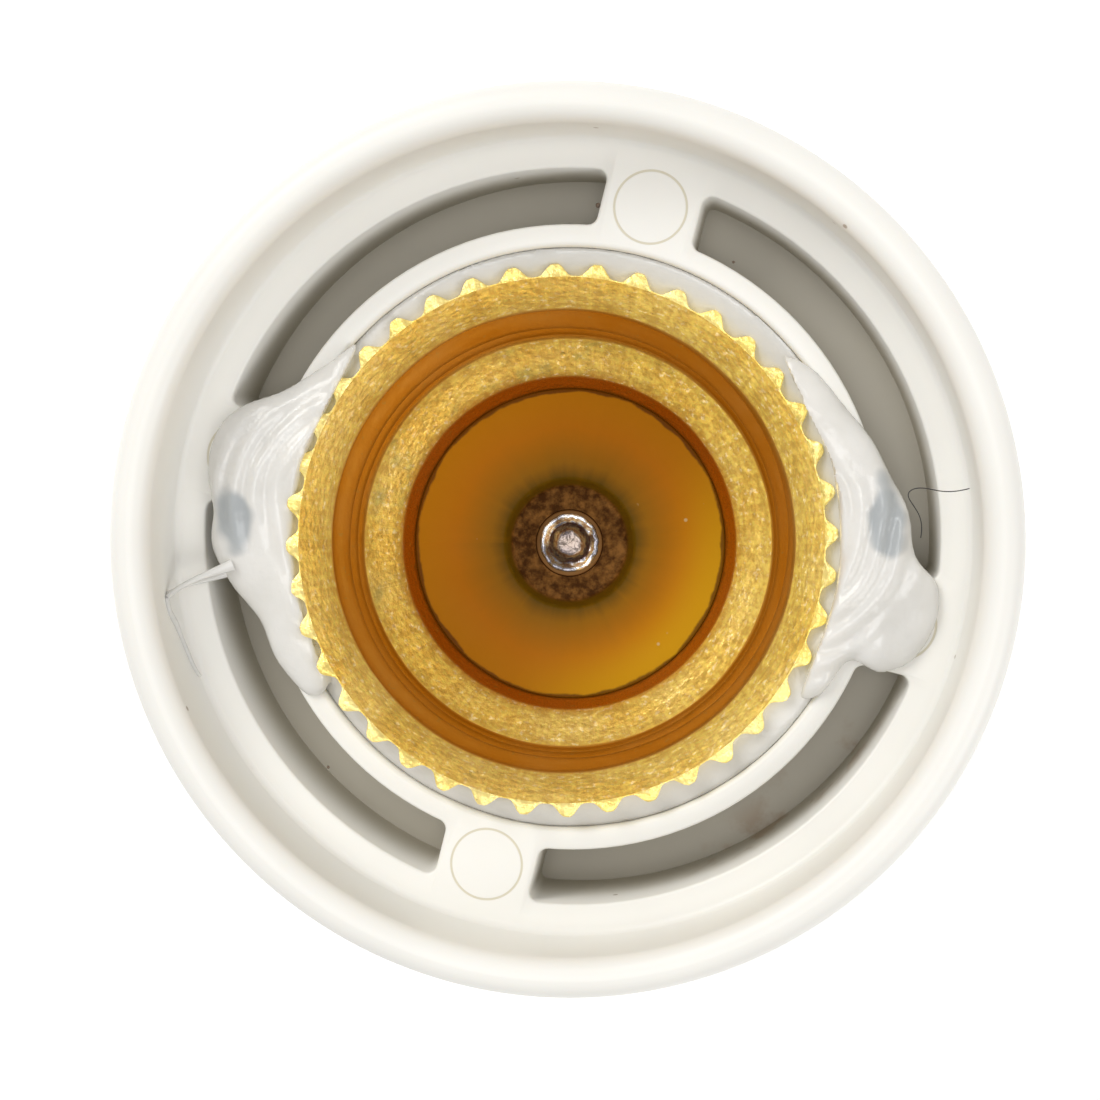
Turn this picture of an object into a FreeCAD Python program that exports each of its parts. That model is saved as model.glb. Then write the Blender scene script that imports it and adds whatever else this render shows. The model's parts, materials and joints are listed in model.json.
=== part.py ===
import FreeCAD, Part
import math
import os

# Lamp socket adapter. A large screw base below carries a white moulded housing, and a smaller brass
# screw socket is glued into the housing's mouth. Millimetres. The origin is on the housing's axis at the
# underside of the barrel, where the rim of the lamp holder stops, and +Z leaves the mouth.

Vector = FreeCAD.Vector
UP = Vector(0, 0, 1)
OUT = "parts"

# Housing: barrel, lip and mouth recess
BARREL_R = 23.9
BARREL_H = 29.5
BARREL_DRAFT_DEG = 1.2
BARREL_FOOT_FILLET = 2.4
LIP_WALL = 2.2
RECESS_DEPTH = 6.0
RECESS_FILLET = 0.4

# Housing: slotted face with four arc pockets between four parallel-sided ribs
POCKET_OUTER_R = 20.0
POCKET_DEPTH = 6.0
POCKET_CORNER_R = 0.5
RIB_COUNT = 4
RIB_W = 5.3
RIB_ANGLE_DEG = 76.0
EJECTOR_R = 1.95
EJECTOR_DEPTH = 0.12

# Housing: inner tube, its floor, and the spigot under the barrel
TUBE_BORE_R = 15.8
TUBE_WALL = 1.2
TUBE_EDGE_R = 0.25
FLOOR_T = 2.4
FLOOR_HOLE_R = 6.0
SPIGOT_WALL = 2.6
SPIGOT_H = 33.0
SPIGOT_CLEAR = 0.1

# Brass socket shell for a round thread of 27 mm, sheet metal. Depths run down from its toothed rim.
SOCKET_SHEET = 0.35
TOOTH_COUNT = 40
TOOTH_PEAK_R = 15.0
TOOTH_VALLEY_R = 14.35
TOOTH_LAND_DEG = 2.2
TOOTH_FIRST_DEG = 1.5
MOUTH_R = 14.2
FLARE_FOOT_R = 13.0
FLARE_DEPTH = 4.3
SOCKET_PITCH = 3.629
SOCKET_CREST_R = 12.25
SOCKET_ROOT_R = 13.3
SOCKET_THREAD_DEPTH = 9.3
SOCKET_START_DEG = 120.0
SHOULDER_DEPTH = 3.3
NECK_TOP_R = 10.3
NECK_R = 9.7
NECK_DEPTH = 1.9
NECK_OVERHANG = 0.25

# The socket shell stands a little askew in its tube
RIM_SHIFT_X = -0.35
RIM_SHIFT_Y = 0.0
RIM_PROUD = 0.3
LEAN_DEG = 4.7
LEAN_TOWARDS_DEG = 50.0
SEAT_CLEAR = 0.05

# Socket insulator, eyelet and its solder
INSULATOR_T = 2.8
INSULATOR_CLEAR = 0.02
BOSS_R = 3.6
BOSS_H = 0.8
BOSS_EDGE_R = 0.35
EYELET_R = 1.75
EYELET_WALL = 0.25
EYELET_FLANGE_R = 2.1
EYELET_FLANGE_T = 0.25
EYELET_TAIL = 1.2
SOLDER_PLUG_H = 1.6
SOLDER_DISH = 0.35

# Screw base for a round thread of 40 mm, sheet metal. Depths run down from the barrel's underside.
BASE_SHEET = 0.5
BASE_PITCH = 6.35
BASE_CREST_R = 19.6
BASE_ROOT_R = 17.85
COLLAR_DEPTH = 5.5
BASE_THREAD_DEPTH = 28.0
BASE_CONE_DEPTH = 5.5
BASE_OPENING_R = 13.4
BASE_START_DEG = 0.0

# Parts that close the screw base
BASE_INSULATOR_CLEAR = 0.02
BASE_INSULATOR_GRIP = 3.0
BASE_INSULATOR_H = 3.0
BASE_INSULATOR_TIP_R = 8.6
CONTACT_R = 7.4
CONTACT_T = 0.9
CONTACT_STEM_R = 2.2
CONTACT_STEM_BORE_R = 1.2
CONTACT_STEM_TAIL = 1.5
CONTACT_RIM = 0.4
TIP_SOLDER_R = 3.4
TIP_SOLDER_H = 0.9

# Leads inside the housing
CORE_R = 0.45
SLEEVE_R = 0.95
STRIP = 2.5
SIDE_LEAD_R = 13.5
SIDE_LEAD_ANGLE_DEG = 50.0
SIDE_LEAD_HOLE_R = 1.3
SIDE_JOINT_DEPTH = 11.0
SIDE_JOINT_R = 1.5
BASE_JOINT_R = 2.2
BEND_SHARE = 0.45

# Hot-melt glue
GLUE_RIM_DROP = 0.8
GLUE_DEPTH = 3.4
BLOB_H = 1.3
BLOB_ROOT = 3.5
BLOB_SECTIONS = ((0.0, 1.0), (0.5, 0.98), (0.85, 0.93), (1.0, 0.84))

# Grid of the threaded sheets
COLUMNS = 24
ROWS_PER_PITCH = 8

FACE_Z = BARREL_H - RECESS_DEPTH
MOUTH_INNER_R = BARREL_R - LIP_WALL
TUBE_OUTER_R = TUBE_BORE_R + TUBE_WALL
SOCKET_DEPTH = FLARE_DEPTH + SOCKET_THREAD_DEPTH + SHOULDER_DEPTH + NECK_DEPTH
SOCKET_LENGTH = SOCKET_DEPTH + INSULATOR_T + NECK_OVERHANG
BASE_LENGTH = COLLAR_DEPTH + BASE_THREAD_DEPTH + BASE_CONE_DEPTH


def polar(radius, degrees, z=0.0):
    """Point at a radius and an angle counted from +X."""
    angle = math.radians(degrees)
    return Vector(radius * math.cos(angle), radius * math.sin(angle), z)


def ease(value, start, end):
    """Smooth step from 0 at start to 1 at end."""
    share = min(max((value - start) / (end - start), 0.0), 1.0)
    return share * share * (3.0 - 2.0 * share)


def cylinder(radius, bottom, top, centre=None):
    """Upright cylinder between two levels."""
    base = centre or Vector(0, 0, 0)
    return Part.makeCylinder(radius, top - bottom, Vector(base.x, base.y, bottom))


def revolved(points):
    """Solid of revolution about Z from the corners (radius, z) of its half section."""
    corners = [Vector(radius, 0, z) for radius, z in points]
    face = Part.Face(Part.makePolygon(corners + corners[:1]))
    return face.revolve(Vector(0, 0, 0), UP, 360)


def circle_edges(shape, radius, z, tolerance=1e-4):
    """Full circular edges of a shape with this radius at this level, to be rounded."""
    found = []
    for edge in shape.Edges:
        curve = edge.Curve
        if isinstance(curve, Part.Circle) and abs(curve.Radius - radius) < tolerance:
            if abs(curve.Center.z - z) < tolerance:
                found.append(edge)
    return found


def socket_placement():
    """Place of the socket group: rim centre and lean of its axis."""
    lean_axis = polar(1.0, LEAN_TOWARDS_DEG + 90.0)
    origin = Vector(RIM_SHIFT_X, RIM_SHIFT_Y, FACE_Z + RIM_PROUD)
    return FreeCAD.Placement(origin, FreeCAD.Rotation(lean_axis, LEAN_DEG))


def placed(shape):
    """Copy of a shape of the socket group in its leaning place."""
    copy = shape.copy()
    copy.Placement = socket_placement().multiply(copy.Placement)
    return copy


def socket_radius(depth, degrees):
    """Inner radius of the socket shell at a depth below its rim."""
    thread_end = FLARE_DEPTH + SOCKET_THREAD_DEPTH
    shoulder_end = thread_end + SHOULDER_DEPTH
    if depth < FLARE_DEPTH:
        bell = (1.0 - depth / FLARE_DEPTH) ** 1.7
        return FLARE_FOOT_R + (MOUTH_R - FLARE_FOOT_R) * bell
    if depth >= shoulder_end:
        fall = ease(depth, shoulder_end, shoulder_end + NECK_DEPTH)
        return NECK_TOP_R + (NECK_R - NECK_TOP_R) * fall
    mean = (SOCKET_CREST_R + SOCKET_ROOT_R) / 2
    swing = (SOCKET_ROOT_R - SOCKET_CREST_R) / 2
    grow = ease(depth, FLARE_DEPTH, FLARE_DEPTH + 0.5 * SOCKET_PITCH)
    fade = 1.0 - ease(depth, thread_end - 0.5 * SOCKET_PITCH, thread_end)
    turn = math.radians(degrees - SOCKET_START_DEG) + 2 * math.pi * depth / SOCKET_PITCH
    radius = FLARE_FOOT_R + (mean - FLARE_FOOT_R) * grow
    radius += (SOCKET_CREST_R - mean) * (1.0 - fade)
    radius += (NECK_TOP_R - SOCKET_CREST_R) * ease(depth, thread_end, shoulder_end)
    return radius - swing * math.cos(turn) * grow * fade


def base_radius(depth, degrees):
    """Outer radius of the screw base at a depth below the barrel."""
    thread_end = COLLAR_DEPTH + BASE_THREAD_DEPTH
    mean = (BASE_CREST_R + BASE_ROOT_R) / 2
    swing = (BASE_CREST_R - BASE_ROOT_R) / 2
    grow = ease(depth, COLLAR_DEPTH, COLLAR_DEPTH + 0.5 * BASE_PITCH)
    fade = 1.0 - ease(depth, thread_end - 0.5 * BASE_PITCH, thread_end)
    turn = math.radians(degrees - BASE_START_DEG) + 2 * math.pi * depth / BASE_PITCH
    radius = BASE_CREST_R + (mean - BASE_CREST_R) * grow
    radius += (BASE_ROOT_R - mean) * (1.0 - fade)
    cone = min(max((depth - thread_end) / BASE_CONE_DEPTH, 0.0), 1.0)
    radius -= (BASE_ROOT_R - BASE_OPENING_R) * cone ** 1.5
    return radius + swing * math.cos(turn) * grow * fade


def sheet_surface(radius_at, length, pitch, offset):
    """Closed spline surface of a threaded sheet, offset square to its section."""
    rows = int(math.ceil(length / pitch * ROWS_PER_PITCH))
    step = 0.01
    grid = []
    for row in range(rows + 1):
        depth = length * row / rows
        ring = []
        for column in range(COLUMNS + 1):
            degrees = 360.0 * column / COLUMNS
            radius = radius_at(depth, degrees)
            slope = (radius_at(depth + step, degrees) - radius_at(depth - step, degrees)) / (2 * step)
            ring.append(polar(radius + offset * math.hypot(1.0, slope), degrees, -depth))
        grid.append(ring)
    surface = Part.BSplineSurface()
    surface.interpolate(grid)
    return surface.toShape()


def capped(faces, loops):
    """Solid from side faces and the flat faces that their end loops bound."""
    ends = [Part.Face(loop) for loop in loops]
    shell = Part.Shell(faces + ends)
    shell.sewShape()
    solid = Part.Solid(shell)
    if solid.Volume < 0:
        solid.reverse()
    return solid


def end_loop(face, z):
    """Closed wire of the edges of a face that lie at one level."""
    edges = [edge for edge in face.Edges if abs(edge.BoundBox.ZMin - z) + abs(edge.BoundBox.ZMax - z) < 0.02]
    return Part.Wire(edges)


def filled_sheet(radius_at, length, pitch, offset):
    """Solid plug whose side is the threaded surface."""
    face = sheet_surface(radius_at, length, pitch, offset)
    return capped([face], [end_loop(face, 0.0), end_loop(face, -length)])


def lobed_face():
    """Flat face of the rim's outline: rounded teeth with short lands between them."""
    edges = []
    tooth_deg = 360.0 / TOOTH_COUNT
    flank = (tooth_deg - TOOTH_LAND_DEG) / 2
    for index in range(TOOTH_COUNT):
        middle = TOOTH_FIRST_DEG + index * tooth_deg
        foot_in = polar(TOOTH_VALLEY_R, middle - flank)
        foot_out = polar(TOOTH_VALLEY_R, middle + flank)
        next_foot = polar(TOOTH_VALLEY_R, middle + tooth_deg - flank)
        edges.append(Part.Arc(foot_in, polar(TOOTH_PEAK_R, middle), foot_out).toShape())
        edges.append(Part.LineSegment(foot_out, next_foot).toShape())
    return Part.Face(Part.Wire(edges))


def socket_envelope():
    """Socket shell without its hollow, upright, with its rim at zero."""
    rim = lobed_face().extrude(Vector(0, 0, -SOCKET_SHEET))
    plug = filled_sheet(socket_radius, SOCKET_LENGTH, SOCKET_PITCH, SOCKET_SHEET)
    return plug.fuse(rim).removeSplitter()


def make_socket_shell():
    """Pressed brass shell: toothed rim, flare, round thread, shoulder and neck."""
    hollow = filled_sheet(socket_radius, SOCKET_LENGTH, SOCKET_PITCH, 0.0)
    return placed(socket_envelope().cut(hollow))


def make_housing():
    """White moulding: barrel, lip, recess, slotted face, inner tube, floor and spigot."""
    foot_r = BARREL_R - BARREL_H * math.tan(math.radians(BARREL_DRAFT_DEG))
    barrel = revolved([(0, 0), (foot_r, 0), (BARREL_R, BARREL_H), (0, BARREL_H)])
    barrel = barrel.makeFillet(BARREL_FOOT_FILLET, circle_edges(barrel, foot_r, 0))

    recess = cylinder(MOUTH_INNER_R, FACE_Z, BARREL_H)
    recess = recess.makeFillet(RECESS_FILLET, circle_edges(recess, MOUTH_INNER_R, FACE_Z))
    body = barrel.cut(recess)
    lip_r = 0.49 * LIP_WALL
    lip_edges = circle_edges(body, BARREL_R, BARREL_H) + circle_edges(body, MOUTH_INNER_R, BARREL_H)
    body = body.makeFillet(lip_r, lip_edges)

    register_r = BASE_CREST_R - BASE_SHEET - SPIGOT_CLEAR
    spigot_r = BASE_ROOT_R - BASE_SHEET - SPIGOT_CLEAR
    body = body.fuse([cylinder(register_r, -COLLAR_DEPTH, 0.5), cylinder(spigot_r, -SPIGOT_H, 0.5)])

    floor_z = socket_floor_z()
    cavity_r = spigot_r - SPIGOT_WALL
    cuts = [
        cylinder(TUBE_BORE_R, floor_z, BARREL_H),
        cylinder(cavity_r, -SPIGOT_H, floor_z - FLOOR_T),
        cylinder(FLOOR_HOLE_R, floor_z - FLOOR_T, floor_z),
        cylinder(SIDE_LEAD_HOLE_R, floor_z - FLOOR_T, floor_z, polar(SIDE_LEAD_R, SIDE_LEAD_ANGLE_DEG)),
    ]
    body = body.cut(cuts + make_pockets() + make_ejector_marks())
    return body.makeFillet(TUBE_EDGE_R, circle_edges(body, TUBE_BORE_R, FACE_Z))


def make_pockets():
    """Arc pockets between the ribs, with rounded upright corners."""
    ring = cylinder(POCKET_OUTER_R, FACE_Z - POCKET_DEPTH, FACE_Z)
    ring = ring.cut(cylinder(TUBE_OUTER_R, FACE_Z - POCKET_DEPTH, FACE_Z))
    ribs = []
    for index in range(RIB_COUNT):
        rib = Part.makeBox(POCKET_OUTER_R * 2, RIB_W, POCKET_DEPTH * 2, Vector(0, -RIB_W / 2, FACE_Z - POCKET_DEPTH * 1.5))
        rib.rotate(Vector(0, 0, 0), UP, RIB_ANGLE_DEG + index * 360.0 / RIB_COUNT)
        ribs.append(rib)
    pockets = []
    for pocket in ring.cut(ribs).Solids:
        upright = [edge for edge in pocket.Edges if edge.BoundBox.ZLength > POCKET_DEPTH * 0.9]
        pockets.append(pocket.makeFillet(POCKET_CORNER_R, upright))
    return pockets


def make_ejector_marks():
    """Shallow round marks that the ejector pins leave on the ribs."""
    ring_r = (TUBE_OUTER_R + POCKET_OUTER_R) / 2
    marks = []
    for index in range(RIB_COUNT):
        centre = polar(ring_r, RIB_ANGLE_DEG + index * 360.0 / RIB_COUNT)
        marks.append(cylinder(EJECTOR_R, FACE_Z - EJECTOR_DEPTH, FACE_Z, centre))
    return marks


def socket_floor_z():
    """Level of the tube's floor, just under the lowest edge of the leaning socket shell."""
    lean = math.radians(LEAN_DEG)
    outer_r = NECK_R + SOCKET_SHEET
    drop = SOCKET_LENGTH * math.cos(lean) + outer_r * math.sin(lean)
    return FACE_Z + RIM_PROUD - drop - SEAT_CLEAR


def make_socket_insulator():
    """Disc in the neck of the socket shell, with a raised boss round the eyelet."""
    top = -SOCKET_DEPTH
    disc_r = NECK_R - INSULATOR_CLEAR
    disc = cylinder(disc_r, top - INSULATOR_T, top)
    boss = cylinder(BOSS_R, top - INSULATOR_T, top + BOSS_H)
    boss = boss.makeFillet(BOSS_EDGE_R, circle_edges(boss, BOSS_R, top + BOSS_H))
    hole = cylinder(EYELET_R, top - INSULATOR_T, top + BOSS_H)
    seat = cylinder(EYELET_FLANGE_R, top + BOSS_H - EYELET_FLANGE_T, top + BOSS_H)
    return placed(disc.fuse(boss).cut([hole, seat]))


def make_socket_eyelet():
    """Flanged brass tube through the insulator."""
    top = -SOCKET_DEPTH + BOSS_H
    foot = -SOCKET_DEPTH - INSULATOR_T - EYELET_TAIL
    bore_r = EYELET_R - EYELET_WALL
    flange_z = top - EYELET_FLANGE_T
    section = [
        (bore_r, foot),
        (EYELET_R, foot),
        (EYELET_R, flange_z),
        (EYELET_FLANGE_R, flange_z),
        (EYELET_FLANGE_R, top),
        (bore_r, top),
    ]
    return placed(revolved(section))


def make_socket_solder():
    """Dished solder plug in the top of the eyelet."""
    top = -SOCKET_DEPTH + BOSS_H
    bore_r = EYELET_R - EYELET_WALL
    plug = cylinder(bore_r, top - SOLDER_PLUG_H, top)
    dish_r = (bore_r ** 2 + SOLDER_DISH ** 2) / (2 * SOLDER_DISH)
    dish = Part.makeSphere(dish_r, Vector(0, 0, top - SOLDER_DISH + dish_r))
    return placed(plug.cut(dish))


def make_base_shell():
    """Large screw shell: plain collar, coarse round thread and a cone down to its opening."""
    outer = filled_sheet(base_radius, BASE_LENGTH, BASE_PITCH, 0.0)
    hollow = filled_sheet(base_radius, BASE_LENGTH, BASE_PITCH, -BASE_SHEET)
    return outer.cut(hollow)


def make_base_insulator():
    """Plug that closes the screw shell and tapers to the centre contact."""
    opening_z = -BASE_LENGTH
    grip_z = opening_z + BASE_INSULATOR_GRIP
    tip_z = opening_z - BASE_INSULATOR_H
    plug_r = BASE_OPENING_R - BASE_SHEET * 1.6 - BASE_INSULATOR_CLEAR
    plug = revolved([
        (0, grip_z),
        (plug_r, grip_z),
        (plug_r, opening_z - BASE_INSULATOR_CLEAR),
        (BASE_OPENING_R, opening_z - BASE_INSULATOR_CLEAR),
        (BASE_INSULATOR_TIP_R, tip_z),
        (0, tip_z),
    ])
    seat = cylinder(CONTACT_R, tip_z, tip_z + CONTACT_T - CONTACT_RIM)
    hole = cylinder(CONTACT_STEM_R, tip_z, grip_z)
    return plug.cut([seat, hole])


def contact_levels():
    """Underside and top of the contact plate, and the top of its stem."""
    tip_z = -BASE_LENGTH - BASE_INSULATOR_H
    plate_top = tip_z + CONTACT_T - CONTACT_RIM
    stem_top = -BASE_LENGTH + BASE_INSULATOR_GRIP + CONTACT_STEM_TAIL
    return plate_top - CONTACT_T, plate_top, stem_top


def make_base_contact():
    """Centre contact: round plate with a tubular stem through the insulator."""
    plate_z, plate_top, stem_top = contact_levels()
    plate = cylinder(CONTACT_R, plate_z, plate_top)
    plate = plate.makeFillet(CONTACT_RIM * 0.9, circle_edges(plate, CONTACT_R, plate_z))
    stem = cylinder(CONTACT_STEM_R, plate_top - 0.1, stem_top)
    bore = cylinder(CONTACT_STEM_BORE_R, plate_z, stem_top)
    return plate.fuse(stem).removeSplitter().cut(bore)


def make_base_solder():
    """Solder dome on the contact plate, with its root in the stem's bore."""
    plate_z, plate_top, stem_top = contact_levels()
    dome_r = (TIP_SOLDER_R ** 2 + TIP_SOLDER_H ** 2) / (2 * TIP_SOLDER_H)
    dome = Part.makeSphere(dome_r, Vector(0, 0, plate_z - TIP_SOLDER_H + dome_r))
    dome = dome.common(cylinder(TIP_SOLDER_R * 1.1, plate_z - TIP_SOLDER_H * 1.5, plate_z))
    root = cylinder(CONTACT_STEM_BORE_R, plate_z - 0.2, plate_top)
    return dome.fuse(root).removeSplitter()


def route(points, bare=0.0):
    """Wire of straight runs joined by tangent arcs, without a bare length at each end."""
    edges = []
    start = points[0] + (points[1] - points[0]).normalize() * bare
    for index in range(1, len(points) - 1):
        before, corner, after = points[index - 1], points[index], points[index + 1]
        way_in = (before - corner).normalize()
        way_out = (after - corner).normalize()
        turn = math.pi - way_in.getAngle(way_out)
        cut_back = BEND_SHARE * min((before - corner).Length, (after - corner).Length)
        bend_r = cut_back / math.tan(turn / 2)
        leave = corner + way_in * cut_back
        join = corner + way_out * cut_back
        inward = (way_in + way_out).normalize()
        centre = corner + inward * math.hypot(bend_r, cut_back)
        edges.append(Part.LineSegment(start, leave).toShape())
        edges.append(Part.Arc(leave, centre - inward * bend_r, join).toShape())
        start = join
    finish = points[-1] + (points[-2] - points[-1]).normalize() * bare
    edges.append(Part.LineSegment(start, finish).toShape())
    return Part.Wire(edges)


def pipe(points, radius, bare=0.0):
    """Round rod along a route."""
    path = route(points, bare)
    way = (points[1] - points[0]).normalize()
    profile = Part.Wire(Part.makeCircle(radius, points[0] + way * bare, way))
    return path.makePipeShell([profile], True, False)


def report_bends(name, points):
    """Print the bend radii of a route."""
    bends = [round(edge.Curve.Radius, 1) for edge in route(points).Edges if isinstance(edge.Curve, Part.Circle)]
    print(name, "bend radii", bends)


def centre_route():
    """Route of the lead from the socket's eyelet to the base contact."""
    place = socket_placement()
    solder_foot = -SOCKET_DEPTH + BOSS_H - SOLDER_PLUG_H
    under = -SOCKET_DEPTH - INSULATOR_T - EYELET_TAIL
    floor_under = socket_floor_z() - FLOOR_T
    plate_top = contact_levels()[1]
    return [
        place.multVec(Vector(0, 0, solder_foot)),
        place.multVec(Vector(0, 0, under - 5.0)),
        Vector(2.2, 0.8, floor_under - 11.0),
        Vector(1.8, -1.2, floor_under - 19.5),
        Vector(0, 0, plate_top + 9.5),
        Vector(0, 0, plate_top),
    ]


def side_route():
    """Route of the lead from the outside of the socket shell to the screw base."""
    joint_z = FACE_Z + RIM_PROUD - SIDE_JOINT_DEPTH
    floor_under = socket_floor_z() - FLOOR_T
    cone_z = -SPIGOT_H - 1.5
    angle = SIDE_LEAD_ANGLE_DEG
    return [
        polar(SIDE_LEAD_R, angle, joint_z),
        polar(SIDE_LEAD_R, angle, floor_under - 2.0),
        polar(11.6, angle + 6, floor_under - 11.5),
        polar(11.9, angle + 3, floor_under - 21.5),
        polar(SIDE_LEAD_R - 0.7, angle, cone_z),
    ]


def make_centre_wire_core():
    """Copper core of the centre lead, bare at both ends."""
    return pipe(centre_route(), CORE_R)


def make_centre_wire():
    """Insulation of the centre lead."""
    return pipe(centre_route(), SLEEVE_R, STRIP).cut(make_centre_wire_core())


def make_shell_wire_core():
    """Copper core of the side lead, bare at both ends."""
    return pipe(side_route(), CORE_R)


def make_shell_wire():
    """Insulation of the side lead."""
    return pipe(side_route(), SLEEVE_R, STRIP).cut(make_shell_wire_core())


def make_shell_joint():
    """Solder that holds the side lead to the outside of the socket shell."""
    start = side_route()[0]
    blob = Part.makeSphere(SIDE_JOINT_R, start - Vector(0, 0, 0.4))
    blob = blob.common(cylinder(TUBE_BORE_R, 0, BARREL_H))
    return largest(blob.cut([placed(socket_envelope()), make_shell_wire_core(), make_shell_wire()]))


def make_base_joint():
    """Solder that holds the side lead to the inside of the screw base."""
    end = side_route()[-1]
    blob = Part.makeSphere(BASE_JOINT_R, end + polar(0.5, SIDE_LEAD_ANGLE_DEG, 0.3))
    space = filled_sheet(base_radius, BASE_LENGTH, BASE_PITCH, -BASE_SHEET)
    space = space.cut(cylinder(BASE_CREST_R, -SPIGOT_H, 0))
    blob = blob.common(space)
    return largest(blob.cut([make_shell_wire_core(), make_shell_wire(), make_base_insulator()]))


def largest(shape):
    """The biggest solid of a shape, without crumbs that a cut leaves."""
    return max(shape.Solids, key=lambda solid: solid.Volume)


def glue_blob(points):
    """Low rounded mound of glue on the slotted face, inside a smooth closed outline."""
    middle_x = sum(x for x, y in points) / len(points)
    middle_y = sum(y for x, y in points) / len(points)
    rings = []
    for height, share in BLOB_SECTIONS:
        ring = []
        for x, y in points:
            place_x = middle_x + (x - middle_x) * share
            place_y = middle_y + (y - middle_y) * share
            ring.append(Vector(place_x, place_y, FACE_Z + BLOB_H * height))
        curve = Part.BSplineCurve()
        curve.interpolate(Points=ring, PeriodicFlag=True)
        rings.append(Part.Wire(curve.toShape()))
    root = Part.Face(rings[0]).extrude(Vector(0, 0, -BLOB_ROOT))
    root = root.common(cylinder(TUBE_BORE_R, 0, BARREL_H))
    return Part.makeLoft(rings, True).fuse(root)


def make_glue_bead():
    """Glue round the socket shell, with a blob over each of two ribs."""
    left = [
        (-12.0, 10.4), (-15.2, 9.0), (-18.0, 7.4), (-19.5, 5.0), (-19.8, 2.4), (-19.4, -0.6), (-18.2, -3.4),
        (-16.2, -6.2), (-13.6, -8.4), (-11.0, -7.6), (-9.8, -3.0), (-9.6, 2.0), (-10.0, 7.4),
    ]
    right = [
        (12.3, 9.2), (14.6, 8.0), (16.4, 5.8), (17.6, 3.4), (18.5, 1.2), (19.1, -1.2), (19.8, -3.6),
        (18.9, -6.2), (16.8, -7.2), (14.6, -7.8), (12.2, -8.4), (10.8, -5.0), (10.4, 0.0), (10.8, 5.6),
    ]
    blobs = [glue_blob(left), glue_blob(right)]
    slab = cylinder(TUBE_BORE_R * 1.2, -GLUE_RIM_DROP - GLUE_DEPTH, -GLUE_RIM_DROP)
    ring = placed(slab).common(cylinder(TUBE_BORE_R, 0, BARREL_H))
    bead = ring.fuse(blobs)
    mouth = placed(cylinder(TOOTH_VALLEY_R, -GLUE_RIM_DROP, RECESS_DEPTH))
    return largest(bead.cut([placed(socket_envelope()), mouth, make_housing()]))


MAKERS = {
    "housing": make_housing,
    "socket_shell": make_socket_shell,
    "socket_insulator": make_socket_insulator,
    "socket_eyelet": make_socket_eyelet,
    "socket_solder": make_socket_solder,
    "glue_bead": make_glue_bead,
    "base_shell": make_base_shell,
    "base_insulator": make_base_insulator,
    "base_contact": make_base_contact,
    "base_solder": make_base_solder,
    "centre_wire": make_centre_wire,
    "centre_wire_core": make_centre_wire_core,
    "shell_wire": make_shell_wire,
    "shell_wire_core": make_shell_wire_core,
    "shell_joint": make_shell_joint,
    "base_joint": make_base_joint,
}


def main():
    """Build every piece and write one file for each."""
    os.makedirs(OUT, exist_ok=True)
    for name, maker in MAKERS.items():
        shape = maker()
        print(name, "solids", len(shape.Solids), "valid", shape.isValid(), "volume", round(shape.Volume, 1))
        shape.exportStep(f"{OUT}/{name}.step")
    report_bends("centre lead", centre_route())
    report_bends("side lead", side_route())


if __name__ == "__main__":
    main()
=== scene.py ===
"""Looks of the lamp socket adapter: meshes, finishes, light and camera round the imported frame."""

import json
import logging
import math
import random
from dataclasses import dataclass
from typing import Any, Callable, Sequence

import bmesh
import bpy
from mathutils import Matrix, Vector, noise

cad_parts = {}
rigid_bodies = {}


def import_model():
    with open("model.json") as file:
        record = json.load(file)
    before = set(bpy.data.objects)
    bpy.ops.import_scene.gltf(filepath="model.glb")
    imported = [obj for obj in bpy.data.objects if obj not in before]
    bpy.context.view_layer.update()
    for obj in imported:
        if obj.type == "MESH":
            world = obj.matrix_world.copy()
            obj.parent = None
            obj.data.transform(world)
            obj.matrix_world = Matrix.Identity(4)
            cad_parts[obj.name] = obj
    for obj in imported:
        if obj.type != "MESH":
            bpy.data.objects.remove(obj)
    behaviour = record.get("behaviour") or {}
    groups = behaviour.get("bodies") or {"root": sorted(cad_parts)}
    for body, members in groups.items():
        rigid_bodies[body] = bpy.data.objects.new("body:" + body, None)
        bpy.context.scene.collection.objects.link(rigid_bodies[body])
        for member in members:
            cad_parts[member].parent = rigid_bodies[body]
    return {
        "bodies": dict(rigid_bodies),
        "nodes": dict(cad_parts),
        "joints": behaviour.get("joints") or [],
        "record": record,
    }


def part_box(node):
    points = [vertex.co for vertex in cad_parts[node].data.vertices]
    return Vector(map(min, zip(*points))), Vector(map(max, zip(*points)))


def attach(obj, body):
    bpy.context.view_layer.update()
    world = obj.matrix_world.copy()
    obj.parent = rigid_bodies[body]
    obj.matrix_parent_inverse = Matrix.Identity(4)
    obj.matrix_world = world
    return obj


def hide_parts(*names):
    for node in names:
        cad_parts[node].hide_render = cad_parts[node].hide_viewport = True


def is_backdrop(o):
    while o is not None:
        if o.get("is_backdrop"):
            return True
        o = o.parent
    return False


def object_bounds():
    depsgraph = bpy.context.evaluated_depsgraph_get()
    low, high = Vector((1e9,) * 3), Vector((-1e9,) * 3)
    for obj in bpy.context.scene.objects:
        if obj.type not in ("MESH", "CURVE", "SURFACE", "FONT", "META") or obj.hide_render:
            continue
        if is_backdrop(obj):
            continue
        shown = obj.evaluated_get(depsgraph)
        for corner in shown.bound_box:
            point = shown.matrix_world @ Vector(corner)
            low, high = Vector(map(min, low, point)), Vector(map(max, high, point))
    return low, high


LOG = logging.getLogger("adapter")
MM = 0.001
TURN = 2.0 * math.pi
WELD = 1e-7
NUDGE = 1e-6
Point = tuple[float, float]


# Shader expressions


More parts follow.
